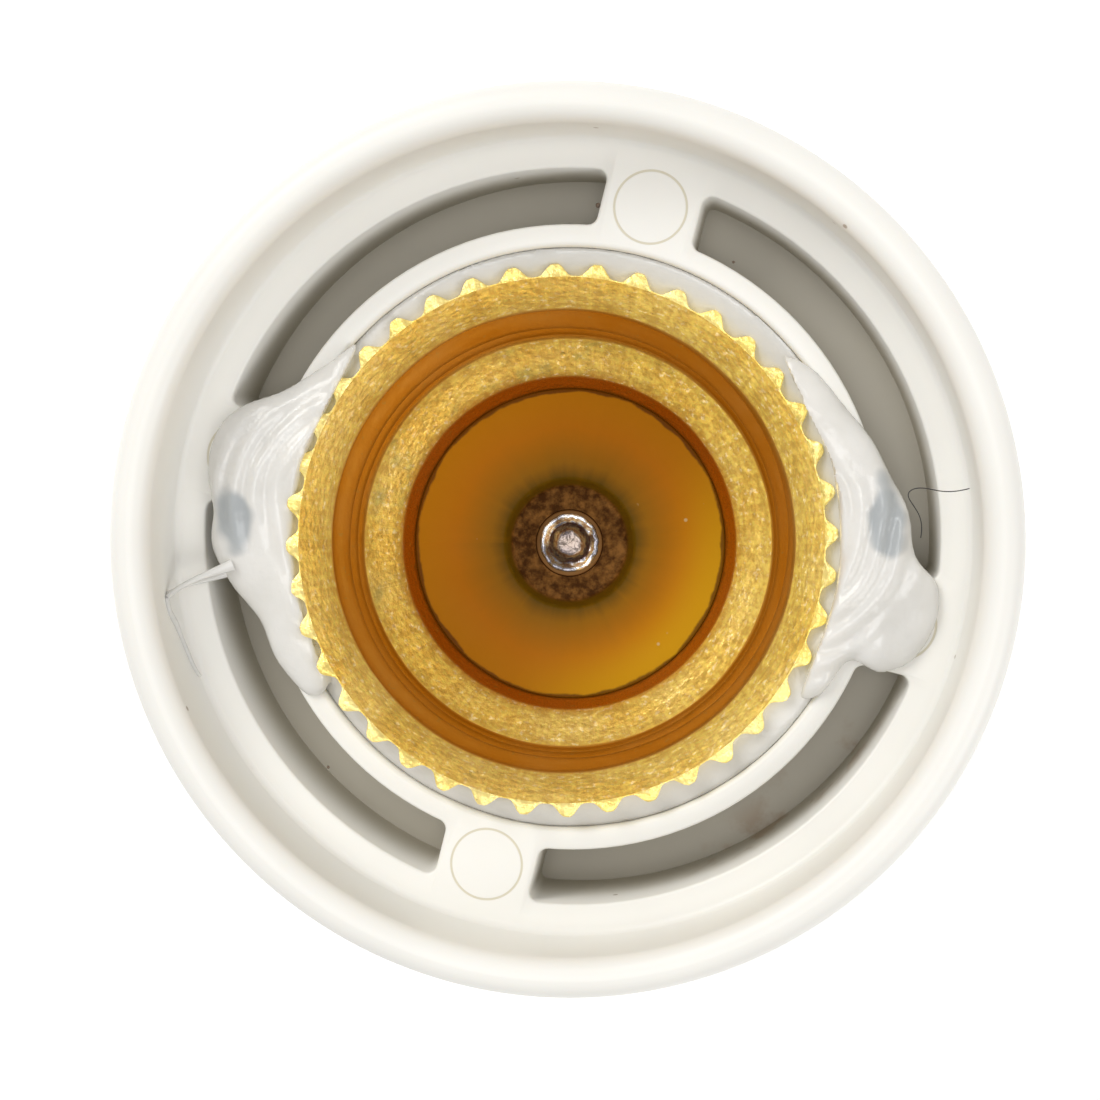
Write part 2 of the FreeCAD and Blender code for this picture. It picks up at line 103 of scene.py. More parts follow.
class Sock:
    """A shader socket that takes part in Python expressions."""

    def __init__(self, sheet: "Sheet", link: Any) -> None:
        """Wrap an output socket of a sheet's node."""
        self.sheet = sheet
        self.link = link

    def maths(self, operation: str, *others: Any, swap: bool = False) -> "Sock":
        """Add one Math node.

        Args:
            operation: The node's operation.
            others: Numbers or sockets beside this one.
            swap: Whether this socket comes second.

        Returns:
            The node's output.
        """
        values = [self, *others]
        if swap:
            values.reverse()
        inputs = dict(enumerate(values))
        return self.sheet.node("ShaderNodeMath", {"operation": operation}, inputs).get(0)

    def __add__(self, other: Any) -> "Sock":
        """Sum."""
        return self.maths("ADD", other)

    def __radd__(self, other: Any) -> "Sock":
        """Sum, number first."""
        return self.maths("ADD", other)

    def __sub__(self, other: Any) -> "Sock":
        """Difference."""
        return self.maths("SUBTRACT", other)

    def __rsub__(self, other: Any) -> "Sock":
        """Difference, number first."""
        return self.maths("SUBTRACT", other, swap=True)

    def __mul__(self, other: Any) -> "Sock":
        """Product."""
        return self.maths("MULTIPLY", other)

    def __rmul__(self, other: Any) -> "Sock":
        """Product, number first."""
        return self.maths("MULTIPLY", other)

    def __truediv__(self, other: Any) -> "Sock":
        """Quotient."""
        return self.maths("DIVIDE", other)

    def __pow__(self, other: Any) -> "Sock":
        """Power."""
        return self.maths("POWER", other)

    def size(self) -> "Sock":
        """Absolute value."""
        return self.maths("ABSOLUTE")

    def low(self, other: Any) -> "Sock":
        """Smaller of two."""
        return self.maths("MINIMUM", other)

    def high(self, other: Any) -> "Sock":
        """Larger of two."""
        return self.maths("MAXIMUM", other)

    def step(self, start: float, end: float) -> "Sock":
        """Smooth step.

        Args:
            start: Value that gives 0.
            end: Value that gives 1.

        Returns:
            The eased share between them.
        """
        settings = {"interpolation_type": "SMOOTHSTEP", "clamp": True}
        inputs = {"Value": self, "From Min": start, "From Max": end, "To Min": 0.0, "To Max": 1.0}
        return self.sheet.node("ShaderNodeMapRange", settings, inputs).get("Result")

    def band(self, middle: float, half: float, soft: float) -> "Sock":
        """Mask of a band.

        Args:
            middle: Centre of the band.
            half: Half of its width.
            soft: Width of its soft edge.

        Returns:
            1 inside the band and 0 outside.
        """
        return 1.0 - (self - middle).size().step(half, half + soft)


class NodeHandle:
    """A node whose outputs are taken as expressions."""

    def __init__(self, sheet: "Sheet", item: Any) -> None:
        """Keep the node and its sheet."""
        self.sheet = sheet
        self.item = item

    def get(self, key: Any) -> Sock:
        """Output socket by name or index."""
        return Sock(self.sheet, self.item.outputs[key])


class Sheet:
    """One material's node sheet."""

    def __init__(self, name: str) -> None:
        """Start an empty material."""
        self.material = bpy.data.materials.new(name)
        self.material.use_nodes = True
        self.tree = self.material.node_tree
        self.tree.nodes.clear()
        self.output = self.node("ShaderNodeOutputMaterial", {}, {})
        self.place = self.node("ShaderNodeTexCoord", {}, {}).get("Object")

    def node(self, kind: str, settings: dict[str, Any], sockets: dict[Any, Any]) -> NodeHandle:
        """Add a node.

        Args:
            kind: Node type.
            settings: Attributes, set first; "stops" fills a colour ramp.
            sockets: Values or links by input name or index.

        Returns:
            The node's handle.
        """
        item = self.tree.nodes.new(kind)
        for key, value in settings.items():
            if key == "stops":
                self._fill_ramp(item.color_ramp, value)
            else:
                setattr(item, key, value)
        for key, value in sockets.items():
            if isinstance(value, Sock):
                self.tree.links.new(value.link, item.inputs[key])
            else:
                item.inputs[key].default_value = value
        return NodeHandle(self, item)

    @staticmethod
    def _fill_ramp(ramp: Any, stops: Sequence[tuple[float, Sequence[float]]]) -> None:
        """Set the stops of a colour ramp."""
        while len(ramp.elements) > 1:
            ramp.elements.remove(ramp.elements[-1])
        for index, (place, colour) in enumerate(stops):
            element = ramp.elements[0] if index == 0 else ramp.elements.new(place)
            element.position = place
            element.color = (*colour, 1.0)

    def ramp(self, factor: Sock, stops: Sequence[tuple[float, Sequence[float]]]) -> Sock:
        """Colour ramp over a factor."""
        return self.node("ShaderNodeValToRGB", {"stops": stops}, {"Fac": factor}).get("Color")

    def mix(self, factor: Any, first: Any, second: Any) -> Sock:
        """Mix two colours or colour links; the factor is the share of the second."""
        settings = {"data_type": "RGBA", "blend_type": "MIX", "clamp_factor": True}
        inputs = {"Factor": factor, 6: self._rgba(first), 7: self._rgba(second)}
        return self.node("ShaderNodeMix", settings, inputs).get(2)

    @staticmethod
    def _rgba(value: Any) -> Any:
        """Colour with its alpha, or the link as it is."""
        return value if isinstance(value, Sock) else (*value[:3], 1.0)

    def mapped(self, frame: Matrix) -> Sock:
        """Object coordinates taken into a placed frame."""
        inputs = {"Vector": self.place, "Location": frame.to_translation(), "Rotation": frame.to_euler()}
        return self.node("ShaderNodeMapping", {"vector_type": "TEXTURE"}, inputs).get("Vector")

    def split(self, vector: Sock) -> tuple[Sock, Sock, Sock]:
        """The three parts of a vector."""
        item = self.node("ShaderNodeSeparateXYZ", {}, {"Vector": vector})
        return item.get("X"), item.get("Y"), item.get("Z")

    def join(self, x: Any, y: Any, z: Any) -> Sock:
        """A vector from its parts."""
        return self.node("ShaderNodeCombineXYZ", {}, {"X": x, "Y": y, "Z": z}).get("Vector")

    def grain(self, vector: Sock, scale: float, detail: float = 3.0, rough: float = 0.55) -> Sock:
        """Noise value.

        Args:
            vector: Coordinates.
            scale: Noise scale.
            detail: Octaves.
            rough: Roughness of the octaves.

        Returns:
            Value between 0 and 1.
        """
        inputs = {"Vector": vector, "Scale": scale, "Detail": detail, "Roughness": rough}
        return self.node("ShaderNodeTexNoise", {}, inputs).get("Fac")

    def cells(self, vector: Sock, scale: float, feature: str = "F1") -> NodeHandle:
        """Voronoi cells."""
        return self.node("ShaderNodeTexVoronoi", {"feature": feature}, {"Vector": vector, "Scale": scale})

    def bump(self, height: Sock, distance: float, strength: float = 1.0) -> Sock:
        """Normal from a height.

        Args:
            height: Height field in units of the distance.
            distance: Real height of 1, in metres.
            strength: Share of the effect.

        Returns:
            The bumped normal.
        """
        inputs = {"Height": height, "Distance": distance, "Strength": strength}
        return self.node("ShaderNodeBump", {}, inputs).get("Normal")

    def finish(self, **inputs: Any) -> bpy.types.Material:
        """Close the sheet with a Principled shader.

        Args:
            inputs: Principled inputs, with underscores for spaces.

        Returns:
            The material.
        """
        sockets = {key.replace("_", " "): value for key, value in inputs.items()}
        for key in ("Base Color", "Emission Color", "Coat Tint", "Sheen Tint", "Specular Tint"):
            if key in sockets:
                sockets[key] = self._rgba(sockets[key])
        shader = self.node("ShaderNodeBsdfPrincipled", {}, sockets)
        self.tree.links.new(shader.get("BSDF").link, self.output.item.inputs["Surface"])
        return self.material


def span(x: Sock, y: Sock) -> Sock:
    """Distance from the origin at two coordinates."""
    return (x * x + y * y) ** 0.5


# Mesh helpers


def ease(value: float, start: float, end: float) -> float:
    """Smooth step from 0 at start to 1 at end."""
    share = min(max((value - start) / (end - start), 0.0), 1.0)
    return share * share * (3.0 - 2.0 * share)


def thread_ends(depth: float, start: float, end: float, pitch: float) -> tuple[float, float]:
    """How far a thread has grown in, and how far it has run out, at a depth."""
    return ease(depth, start, start + 0.5 * pitch), ease(depth, end - 0.5 * pitch, end)


def slope_at(curve: Callable[[float], float], depth: float) -> float:
    """Slope of a curve at a depth."""
    return (curve(depth + NUDGE) - curve(depth - NUDGE)) / (2.0 * NUDGE)


def polar(place: Vector) -> tuple[float, float]:
    """Radius and angle of a point about Z."""
    return math.hypot(place.x, place.y), math.atan2(place.y, place.x)


def arc_corners(corners: Sequence[tuple[float, float, float]], steps: int = 6) -> list[Point]:
    """Round the corners of a closed outline.

    Args:
        corners: Points with the radius of each corner.
        steps: Stretches in each round.

    Returns:
        The outline's points.
    """
    outline: list[Point] = []
    count = len(corners)
    for index, (x, y, radius) in enumerate(corners):
        here = Vector((x, y))
        if radius <= 0.0:
            outline.append((x, y))
            continue
        before = (Vector(corners[index - 1][:2]) - here).normalized()
        after = (Vector(corners[(index + 1) % count][:2]) - here).normalized()
        half = before.angle(after) / 2.0
        back = radius / math.tan(half)
        centre = here + (before + after).normalized() * (radius / math.sin(half))
        start = here + before * back - centre
        turn = start.angle_signed(here + after * back - centre)
        for step in range(steps + 1):
            spoke = start.copy()
            spoke.rotate(Matrix.Rotation(-turn * step / steps, 2))
            outline.append(tuple(centre + spoke))
    return outline


def lathe(section: Sequence[Point], steps: int, closed: bool = True) -> bmesh.types.BMesh:
    """Spin a half section about Z.

    Args:
        section: Radius and height of each point, in metres.
        steps: Stretches round the axis.
        closed: Whether the last point joins the first.

    Returns:
        The spun mesh, with its poles merged and its normals outward.
    """
    bm = bmesh.new()
    verts = [bm.verts.new((radius, 0.0, height)) for radius, height in section]
    edges = [bm.edges.new(pair) for pair in zip(verts, verts[1:])]
    if closed:
        edges.append(bm.edges.new((verts[-1], verts[0])))
    bmesh.ops.spin(bm, geom=verts + edges, cent=(0, 0, 0), axis=(0, 0, 1), dvec=(0, 0, 0),
                   angle=TURN, steps=steps, use_merge=True)
    bmesh.ops.remove_doubles(bm, verts=bm.verts[:], dist=WELD)
    bmesh.ops.recalc_face_normals(bm, faces=bm.faces[:])
    return bm


def shade(bm: bmesh.types.BMesh, sharp_deg: float = 38.0) -> None:
    """Shade a mesh smooth, with crisp edges above an angle."""
    limit = math.radians(sharp_deg)
    for face in bm.faces:
        face.smooth = True
    for edge in bm.edges:
        edge.smooth = len(edge.link_faces) == 2 and edge.calc_face_angle(0.0) < limit


def piece_from(name: str, bm: bmesh.types.BMesh, sharp_deg: float = 38.0) -> bpy.types.Object:
    """Make a smooth-shaded object of a mesh.

    Args:
        name: Name of the piece.
        bm: Mesh, freed here.
        sharp_deg: Angle above which an edge stays crisp.

    Returns:
        The linked object.
    """
    shade(bm, sharp_deg)
    mesh = bpy.data.meshes.new(name)
    bm.to_mesh(mesh)
    bm.free()
    item = bpy.data.objects.new(name, mesh)
    bpy.context.scene.collection.objects.link(item)
    return item


def settle(item: bpy.types.Object) -> None:
    """Apply the modifiers of a piece to its mesh."""
    graph = bpy.context.evaluated_depsgraph_get()
    mesh = bpy.data.meshes.new_from_object(item.evaluated_get(graph))
    item.modifiers.clear()
    item.data = mesh
    bm = bmesh.new()
    bm.from_mesh(mesh)
    bmesh.ops.remove_doubles(bm, verts=bm.verts[:], dist=WELD)
    shade(bm)
    bm.to_mesh(mesh)
    bm.free()


def carve(item: bpy.types.Object, cutter: bmesh.types.BMesh) -> None:
    """Cut a mesh, freed here, out of a piece."""
    tool = piece_from("cutter", cutter)
    modifier = item.modifiers.new("cut", "BOOLEAN")
    modifier.operation = "DIFFERENCE"
    modifier.object = tool
    modifier.solver = "EXACT"
    settle(item)
    bpy.data.objects.remove(tool)


def joined(parts: Sequence[bmesh.types.BMesh]) -> bmesh.types.BMesh:
    """Gather several meshes in one."""
    whole = bmesh.new()
    for part in parts:
        mesh = bpy.data.meshes.new("part")
        part.to_mesh(mesh)
        part.free()
        whole.from_mesh(mesh)
        bpy.data.meshes.remove(mesh)
    return whole


def strand(name: str, points: Sequence[Vector], radii: Sequence[float], sides: int = 3) -> bpy.types.Object:
    """Thin round thread through points.

    Args:
        name: Name of the piece.
        points: Route, in metres.
        radii: Radius at each point.
        sides: Half the sides of its section.

    Returns:
        The mesh object.
    """
    curve = bpy.data.curves.new(name, "CURVE")
    curve.dimensions = "3D"
    curve.bevel_depth = 1.0
    curve.bevel_resolution = sides
    curve.use_fill_caps = True
    spline = curve.splines.new("NURBS")
    spline.points.add(len(points) - 1)
    for knot, place, radius in zip(spline.points, points, radii):
        knot.co = (*place, 1.0)
        knot.radius = radius
    spline.use_endpoint_u = True
    spline.order_u = 4
    spline.resolution_u = 8
    item = bpy.data.objects.new(name, curve)
    bpy.context.scene.collection.objects.link(item)
    mesh = bpy.data.meshes.new_from_object(item)
    bpy.data.objects.remove(item)
    for face in mesh.polygons:
        face.use_smooth = True
    solid = bpy.data.objects.new(name, mesh)
    bpy.context.scene.collection.objects.link(solid)
    return solid


def hand_over(item: bpy.types.Object, slot: str, material: bpy.types.Material, *nodes: str) -> None:
    """Fix a new piece to the frame.

    Args:
        item: The piece.
        slot: Material slot of the record; not used.
        material: Its finish.
        nodes: Frame nodes that it stands for.
    """
    item.data.materials.clear()
    item.data.materials.append(material)
    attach(item, "root")
    if nodes:
        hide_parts(*nodes)
    LOG.info("%s: %d faces", item.name, len(item.data.polygons))


# Layout shared by the pieces


@dataclass(frozen=True)
class Layout:
    """Levels and radii that several pieces share, in metres."""

    lip_z: float
    foot_z: float
    recess_depth: float = 6.0 * MM
    rim_shift: Point = (-0.35 * MM, 0.0)
    rim_proud: float = 0.3 * MM
    lean_deg: float = 4.7
    lean_towards_deg: float = 50.0
    rib_angle_deg: float = 76.0
    mark_ring_r: float = 18.4 * MM

    @property
    def face_z(self) -> float:
        """Level of the slotted face."""
        return self.lip_z - self.recess_depth

    @property
    def socket_matrix(self) -> Matrix:
        """Place of the leaning socket group."""
        towards = math.radians(self.lean_towards_deg + 90.0)
        axis = Vector((math.cos(towards), math.sin(towards), 0.0))
        turn = Matrix.Rotation(math.radians(self.lean_deg), 4, axis)
        origin = Vector((*self.rim_shift, self.face_z + self.rim_proud))
        return Matrix.Translation(origin) @ turn


# Finishes


@dataclass(frozen=True)
class WhitePlastic:
    """Warm white moulded plastic with specks of dirt and painted shade deep in the pockets."""

    layout: Layout
    colour: tuple[float, float, float] = (0.86, 0.845, 0.80)
    roughness: float = 0.34

    def make(self) -> bpy.types.Material:
        """Build the material."""
        sheet = Sheet("white_plastic")
        x, y, z = sheet.split(sheet.place)
        radius = span(x, y)
        cloud = sheet.grain(sheet.place, 90.0, 2.0)
        tone = sheet.mix(cloud.step(0.3, 0.7), self.colour, tuple(c * 0.965 for c in self.colour))
        # Painted shade: the plastic darkens to brown-grey deep in the pockets; the same mask also holds the
        # real brown stain.
        pocket_shade_and_stain_mask = 1.0 - z.step(self.layout.face_z - 5.5 * MM, self.layout.face_z - 0.4 * MM)
        pocket_shade_and_stain_mask = pocket_shade_and_stain_mask * (1.0 - radius.step(20.6 * MM, 21.1 * MM))
        tone = sheet.mix(pocket_shade_and_stain_mask * 0.80, tone, (0.40, 0.36, 0.27))
        stain = sheet.grain(sheet.place, 420.0, 4.0).step(0.5, 0.66) * pocket_shade_and_stain_mask
        low_right = (x - y).step(24.0 * MM, 27.0 * MM) * (y * -1.0).step(9.0 * MM, 12.0 * MM)
        tone = sheet.mix(stain * low_right * 0.5, tone, (0.30, 0.17, 0.07))
        rim_line = radius.band(21.62 * MM, 0.03 * MM, 0.05 * MM)
        rim_line = rim_line * z.step(self.layout.face_z + 3.5 * MM, self.layout.face_z + 4.6 * MM)
        broken = sheet.grain(sheet.place, 330.0, 3.0).step(0.52, 0.66)
        tone = sheet.mix(rim_line * broken * 0.45, tone, (0.35, 0.27, 0.20))
        dust = sheet.cells(sheet.place, 520.0)
        dot = 1.0 - dust.get("Distance").step(0.05, 0.10)
        rare = sheet.grain(sheet.place, 150.0, 1.0).step(0.62, 0.66)
        tone = sheet.mix(dot * rare * 0.7, tone, (0.28, 0.20, 0.13))
        mark = self._ejector_rings(sheet, x, y, z)
        tone = sheet.mix(mark * 0.55, tone, (0.50, 0.42, 0.22))
        fine = sheet.grain(sheet.place, 2600.0, 2.0)
        height = fine * 0.12 + sheet.grain(sheet.place, 260.0, 3.0) * 0.5 - mark * 1.5
        normal = sheet.bump(height, 0.012 * MM, 0.6)
        return sheet.finish(
            Base_Color=tone, Roughness=self.roughness + cloud * 0.08, Normal=normal,
            Specular_IOR_Level=0.45, Subsurface_Weight=0.12, Subsurface_Scale=0.6 * MM,
            Subsurface_Radius=(1.0, 0.8, 0.6),
        )

    def _ejector_rings(self, sheet: Sheet, x: Sock, y: Sock, z: Sock) -> Sock:
        """Thin round outlines that the ejector pins left on the ribs."""
        total: Any = 0.0
        for quarter in range(4):
            angle = math.radians(self.layout.rib_angle_deg + 90.0 * quarter)
            away_x = x - self.layout.mark_ring_r * math.cos(angle)
            away_y = y - self.layout.mark_ring_r * math.sin(angle)
            reach = span(away_x, away_y)
            total = reach.band(1.95 * MM, 0.03 * MM, 0.06 * MM) + total
        return total * z.band(self.layout.face_z, 0.2 * MM, 0.1 * MM)


@dataclass(frozen=True)
class PressedBrass:
    """Bright drawn brass with orange-peel grain, painted shade in the thread, at the neck and along the tooth
    edges, and painted light in its emission.
    """

    layout: Layout
    colour: tuple[float, float, float] = (0.90, 0.66, 0.20)
    pale: tuple[float, float, float] = (0.90, 0.74, 0.34)
    # Dark orange of the thread zone: painted shade of the deep thread, with its dirt and lacquer.
    shade: tuple[float, float, float] = (0.40, 0.15, 0.003)
    # Painted light: tint of the emission that paints highlights on the flare and shoulder.
    painted_light: tuple[float, float, float] = (0.86, 0.74, 0.14)
    roughness: float = 0.36

    def make(self) -> bpy.types.Material:
        """Build the material."""
        sheet = Sheet("pressed_brass")
        local = sheet.mapped(self.layout.socket_matrix)
        x, y, z = sheet.split(local)
        radius = span(x, y)
        angle = y.maths("ARCTAN2", x)
        depth = z * -1.0
        patch = sheet.grain(local, 240.0, 3.0).step(0.35, 0.7)
        tone = sheet.mix(patch, self.colour, self.pale)
        # Painted shade, with dirt and lacquer: the thread zone darkens to dark orange.
        thread = depth.step(3.9 * MM, 4.9 * MM) * (1.0 - depth.step(12.9 * MM, 14.0 * MM))
        streaky = sheet.grain(sheet.join(angle * 2.0, radius * 900.0, z * 900.0), 1.0, 3.0)
        tone = sheet.mix(thread * (0.72 + streaky * 0.3), tone, self.shade)
        mottle = sheet.grain(local, 520.0, 4.0, 0.65)
        shoulder = depth.band(15.3 * MM, 1.5 * MM, 0.6 * MM)
        upper_left = (y - x).step(2.0 * MM, 9.0 * MM)
        grey = mottle.step(0.48, 0.7) * shoulder * upper_left
        tone = sheet.mix(grey * 0.7, tone, (0.36, 0.33, 0.17))
        # Painted shade: the neck darkens to dark orange where the shell meets the insulator.
        neck = depth.step(15.9 * MM, 17.5 * MM)
        tone = sheet.mix(neck * 0.9, tone, (0.46, 0.13, 0.004))
        flare = 1.0 - depth.step(3.7 * MM, 4.6 * MM)
        # Painted shadow: a dark line along the cut edge of the teeth, just under the rim.
        edge = depth.band(0.3 * MM, 0.08 * MM, 0.06 * MM)
        tone = sheet.mix(edge * radius.step(14.3 * MM, 14.5 * MM) * 0.8, tone, (0.20, 0.10, 0.02))
        speck = sheet.grain(local, 2300.0, 2.0).step(0.64, 0.72)
        tone = sheet.mix(speck * 0.5, tone, (0.36, 0.26, 0.08))
        peel = sheet.cells(local, 2600.0, "SMOOTH_F1").get("Distance")
        coarse = sheet.grain(local, 1500.0, 3.0, 0.7)
        crinkle = sheet.grain(sheet.join(angle * 40.0, radius * 150.0, z * 150.0), 1.0, 2.0)
        height = peel * 0.5 + coarse * 0.8 + crinkle * 0.35
        grained = (1.0 - thread) * 0.8 + 0.12
        normal = sheet.bump(height * grained, 0.16 * MM, 1.0)
        rough = self.roughness + patch * 0.10 + grey * 0.25
        # Painted light in the emission: sparkle and glints on the flare and shoulder, brighter towards the
        # right side, and an orange glow of bounced light in the thread and neck.
        sparkle = (sheet.grain(local, 1700.0, 3.0, 0.75) * 0.7 + crinkle * 0.3).step(0.40, 0.66)
        lit = (flare + shoulder).low(1.0) * (0.34 + sparkle * 0.52)
        lit = lit * (0.82 + x.step(-3.0 * MM, 12.0 * MM) * 0.42)
        warm = sheet.mix(thread.high(neck) * (1.0 - shoulder * 0.5), self.painted_light, (0.62, 0.20, 0.0))
        glint = sheet.grain(local, 2400.0, 2.0, 0.7).step(0.58, 0.68) * (flare + shoulder).low(1.0)
        warm = sheet.mix(glint * 0.75, warm, (1.6, 1.5, 0.9))
        lit = (lit * (1.0 - neck * 0.6) + thread * 0.3 + neck * 0.12).low(1.0)
        painted_light = sheet.mix(lit, (0.0, 0.0, 0.0), warm)
        return sheet.finish(Base_Color=tone, Metallic=0.88, Roughness=rough, Normal=normal,
                            Emission_Color=painted_light, Emission_Strength=0.50)


@dataclass(frozen=True)
class AmberResin:
    """Glossy amber insulator with a brown boss, painted shade towards its centre and at its rim, painted
    reflection streaks, a painted lit side and a faint painted glow.
    """

    layout: Layout

    def make(self) -> bpy.types.Material:
        """Build the material."""
        sheet = Sheet("amber_resin")
        local = sheet.mapped(self.layout.socket_matrix)
        x, y, _ = sheet.split(local)
        radius = span(x, y)
        # Painted reflection: radial streaks in the amber; painted shade: it darkens towards the boss and the
        # centre.
        spokes = sheet.grain(sheet.join(y.maths("ARCTAN2", x) * 6.0, radius * 60.0, 0.0), 1.0, 3.0)
        share = radius / (10.0 * MM) + (spokes - 0.5) * 0.10
        tone = sheet.ramp(share, [
            (0.0, (0.06, 0.035, 0.01)),
            (0.40, (0.12, 0.07, 0.004)),
            (0.50, (0.30, 0.14, 0.003)),
            (0.72, (0.47, 0.175, 0.001)),
            (0.92, (0.50, 0.21, 0.002)),
        ])
        lit_side = (x * 0.8 - y * 0.6).step(1.5 * MM, 9.5 * MM) * radius.step(5.5 * MM, 9.4 * MM)
        tone = sheet.mix(lit_side * 0.8, tone, (0.62, 0.38, 0.006))
        boss = 1.0 - radius.step(3.5 * MM, 3.75 * MM)
        crumb = sheet.grain(local, 1300.0, 4.0, 0.7)
        brown = sheet.mix(crumb.step(0.35, 0.7), (0.055, 0.022, 0.006), (0.24, 0.12, 0.035))
        tone = sheet.mix(boss, tone, brown)
        dust = sheet.cells(local, 900.0)
        dot = 1.0 - dust.get("Distance").step(0.06, 0.13)
        rare = sheet.grain(local, 300.0, 1.0).step(0.60, 0.64)
        tone = sheet.mix(dot * rare * 0.8, tone, (0.62, 0.50, 0.28))
        # Painted shadow: a dark, uneven ring at the rim where the disc meets the shell.
        rim_shadow_wobble = sheet.grain(local, 620.0, 3.0)
        edge = (radius + rim_shadow_wobble * (0.5 * MM)).step(9.62 * MM, 9.78 * MM)
        tone = sheet.mix(edge * 0.8, tone, (0.09, 0.025, 0.004))
        height = crumb * boss * 2.0 + spokes * 0.4 + sheet.grain(local, 1800.0, 2.0) * 0.3
        normal = sheet.bump(height, 0.04 * MM, 0.8)
        rough = 0.30 + boss * 0.35 + sheet.grain(local, 400.0, 2.0) * 0.12
        # Painted light: the amber glows faintly in its own colour.
        return sheet.finish(Base_Color=tone, Roughness=rough, Normal=normal, Specular_IOR_Level=0.05,
                            Emission_Color=tone, Emission_Strength=0.10)


@dataclass(frozen=True)
class TinSolder:
    """Bright tin solder with dull, tarnished patches."""

    name: str = "tin_solder"
    dull_at: float = 0.55

    def make(self) -> bpy.types.Material:
        """Build the material."""
        sheet = Sheet(self.name)
        cloud = sheet.grain(sheet.place, 900.0, 4.0, 0.65)
        dull = cloud.step(self.dull_at - 0.12, self.dull_at + 0.12)
        tone = sheet.mix(dull, (0.80, 0.80, 0.82), (0.42, 0.38, 0.36))
        normal = sheet.bump(sheet.grain(sheet.place, 1500.0, 3.0), 0.05 * MM, 0.8)
        return sheet.finish(Base_Color=tone, Metallic=1.0, Roughness=0.12 + dull * 0.35, Normal=normal)


@dataclass(frozen=True)
class EyeletSolder:
    """Solder in the eyelet: bright crescents of painted reflection, a dark ring and a grey centre."""

    layout: Layout

    def make(self) -> bpy.types.Material:
        """Build the material."""
        sheet = Sheet("eyelet_solder")
        local = sheet.mapped(self.layout.socket_matrix)
        x, y, _ = sheet.split(local)
        radius = span(x, y)
        wobble = (sheet.grain(local, 1900.0, 2.0) - 0.5) * (0.5 * MM)
        share = (radius + wobble) / (1.9 * MM)
        shaded = sheet.grain(local, 420.0, 1.0).step(0.46, 0.56)
        # Painted reflection: the bright ring where the solder laps the eyelet mirrors the white body and the
        # toothed rim; painted shade darkens patches of it.
        tone = sheet.ramp(share, [
            (0.0, (0.30, 0.24, 0.20)),
            (0.44, (0.34, 0.28, 0.25)),
            (0.54, (0.06, 0.045, 0.07)),
            (0.66, (0.10, 0.085, 0.13)),
            (0.76, (0.88, 0.88, 0.92)),
            (0.93, (0.80, 0.80, 0.84)),
            (1.0, (0.20, 0.16, 0.14)),
        ])
        tone = sheet.mix(shaded * 0.8, tone, (0.10, 0.085, 0.11))
        normal = sheet.bump(sheet.grain(local, 2600.0, 3.0), 0.06 * MM, 0.9)
        return sheet.finish(Base_Color=tone, Metallic=0.85, Roughness=0.22, Normal=normal)


@dataclass(frozen=True)
class HotGlue:
    """Milky hot-melt glue, with grey painted on two patches for the shaded pockets seen through it."""

    colour: tuple[float, float, float] = (0.89, 0.87, 0.835)

    def make(self) -> bpy.types.Material:
        """Build the material."""
        sheet = Sheet("hot_glue")
        cloud = sheet.grain(sheet.place, 260.0, 3.0)
        tone = sheet.mix(cloud.step(0.3, 0.75), self.colour, (0.80, 0.785, 0.75))
        x, y, _ = sheet.split(sheet.place)
        blur = (sheet.grain(sheet.place, 450.0, 1.0) - 0.5) * (2.2 * MM)
        # Painted shade: two grey patches stand for the shaded pockets seen through the glue.
        for side, middle in ((-1.0, 18.1 * MM), (1.0, 17.3 * MM)):
            away_x = x * side - middle
            away_y = (y - 1.0 * MM) * 0.62
            pocket_shade_seen_through = 1.0 - (span(away_x, away_y) + blur).step(0.75 * MM, 1.35 * MM)
            tone = sheet.mix(pocket_shade_seen_through * 0.8, tone, (0.42, 0.455, 0.48))
        fine = sheet.grain(sheet.place, 700.0, 2.0) + sheet.grain(sheet.place, 2400.0, 2.0) * 0.3
        normal = sheet.bump(fine, 0.09 * MM, 0.8)
        return sheet.finish(
            Base_Color=tone, Roughness=0.14 + cloud * 0.10, Normal=normal, IOR=1.48,
            Transmission_Weight=0.16, Subsurface_Weight=0.45, Subsurface_Scale=1.5 * MM,
            Subsurface_Radius=(1.0, 0.95, 0.9),
        )


@dataclass(frozen=True)
class PlatedSheet:
    """Nickel-plated or bare sheet of the screw base."""

    name: str
    colour: tuple[float, float, float]
    worn: tuple[float, float, float]
    roughness: float = 0.22

    def make(self) -> bpy.types.Material:
        """Build the material."""
        sheet = Sheet(self.name)
        x, y, z = sheet.split(sheet.place)
        drawn = sheet.grain(sheet.join(x * 0.15, y * 0.15, z * 6.0), 260.0, 3.0)
        cloud = sheet.grain(sheet.place, 120.0, 3.0)
        tone = sheet.mix(cloud.step(0.35, 0.75) * 0.6, self.colour, self.worn)
        normal = sheet.bump(drawn * 0.5 + sheet.grain(sheet.place, 1400.0, 2.0) * 0.4, 0.02 * MM, 0.5)
        rough = self.roughness + cloud * 0.14
        return sheet.finish(Base_Color=tone, Metallic=1.0, Roughness=rough, Normal=normal)


@dataclass(frozen=True)
class PlainFinish:
    """Quiet finish with faint mottling, for insulation and small parts."""

    name: str
    colour: tuple[float, float, float]
    roughness: float = 0.45
    metallic: float = 0.0
    scale: float = 500.0

    def make(self) -> bpy.types.Material:
        """Build the material."""
        sheet = Sheet(self.name)
        cloud = sheet.grain(sheet.place, self.scale, 3.0)
        tone = sheet.mix(cloud.step(0.3, 0.75), self.colour, tuple(c * 0.82 for c in self.colour))
        normal = sheet.bump(cloud, 0.02 * MM, 0.5)
        rough = self.roughness + cloud * 0.1
        return sheet.finish(Base_Color=tone, Metallic=self.metallic, Roughness=rough, Normal=normal)


# Pieces


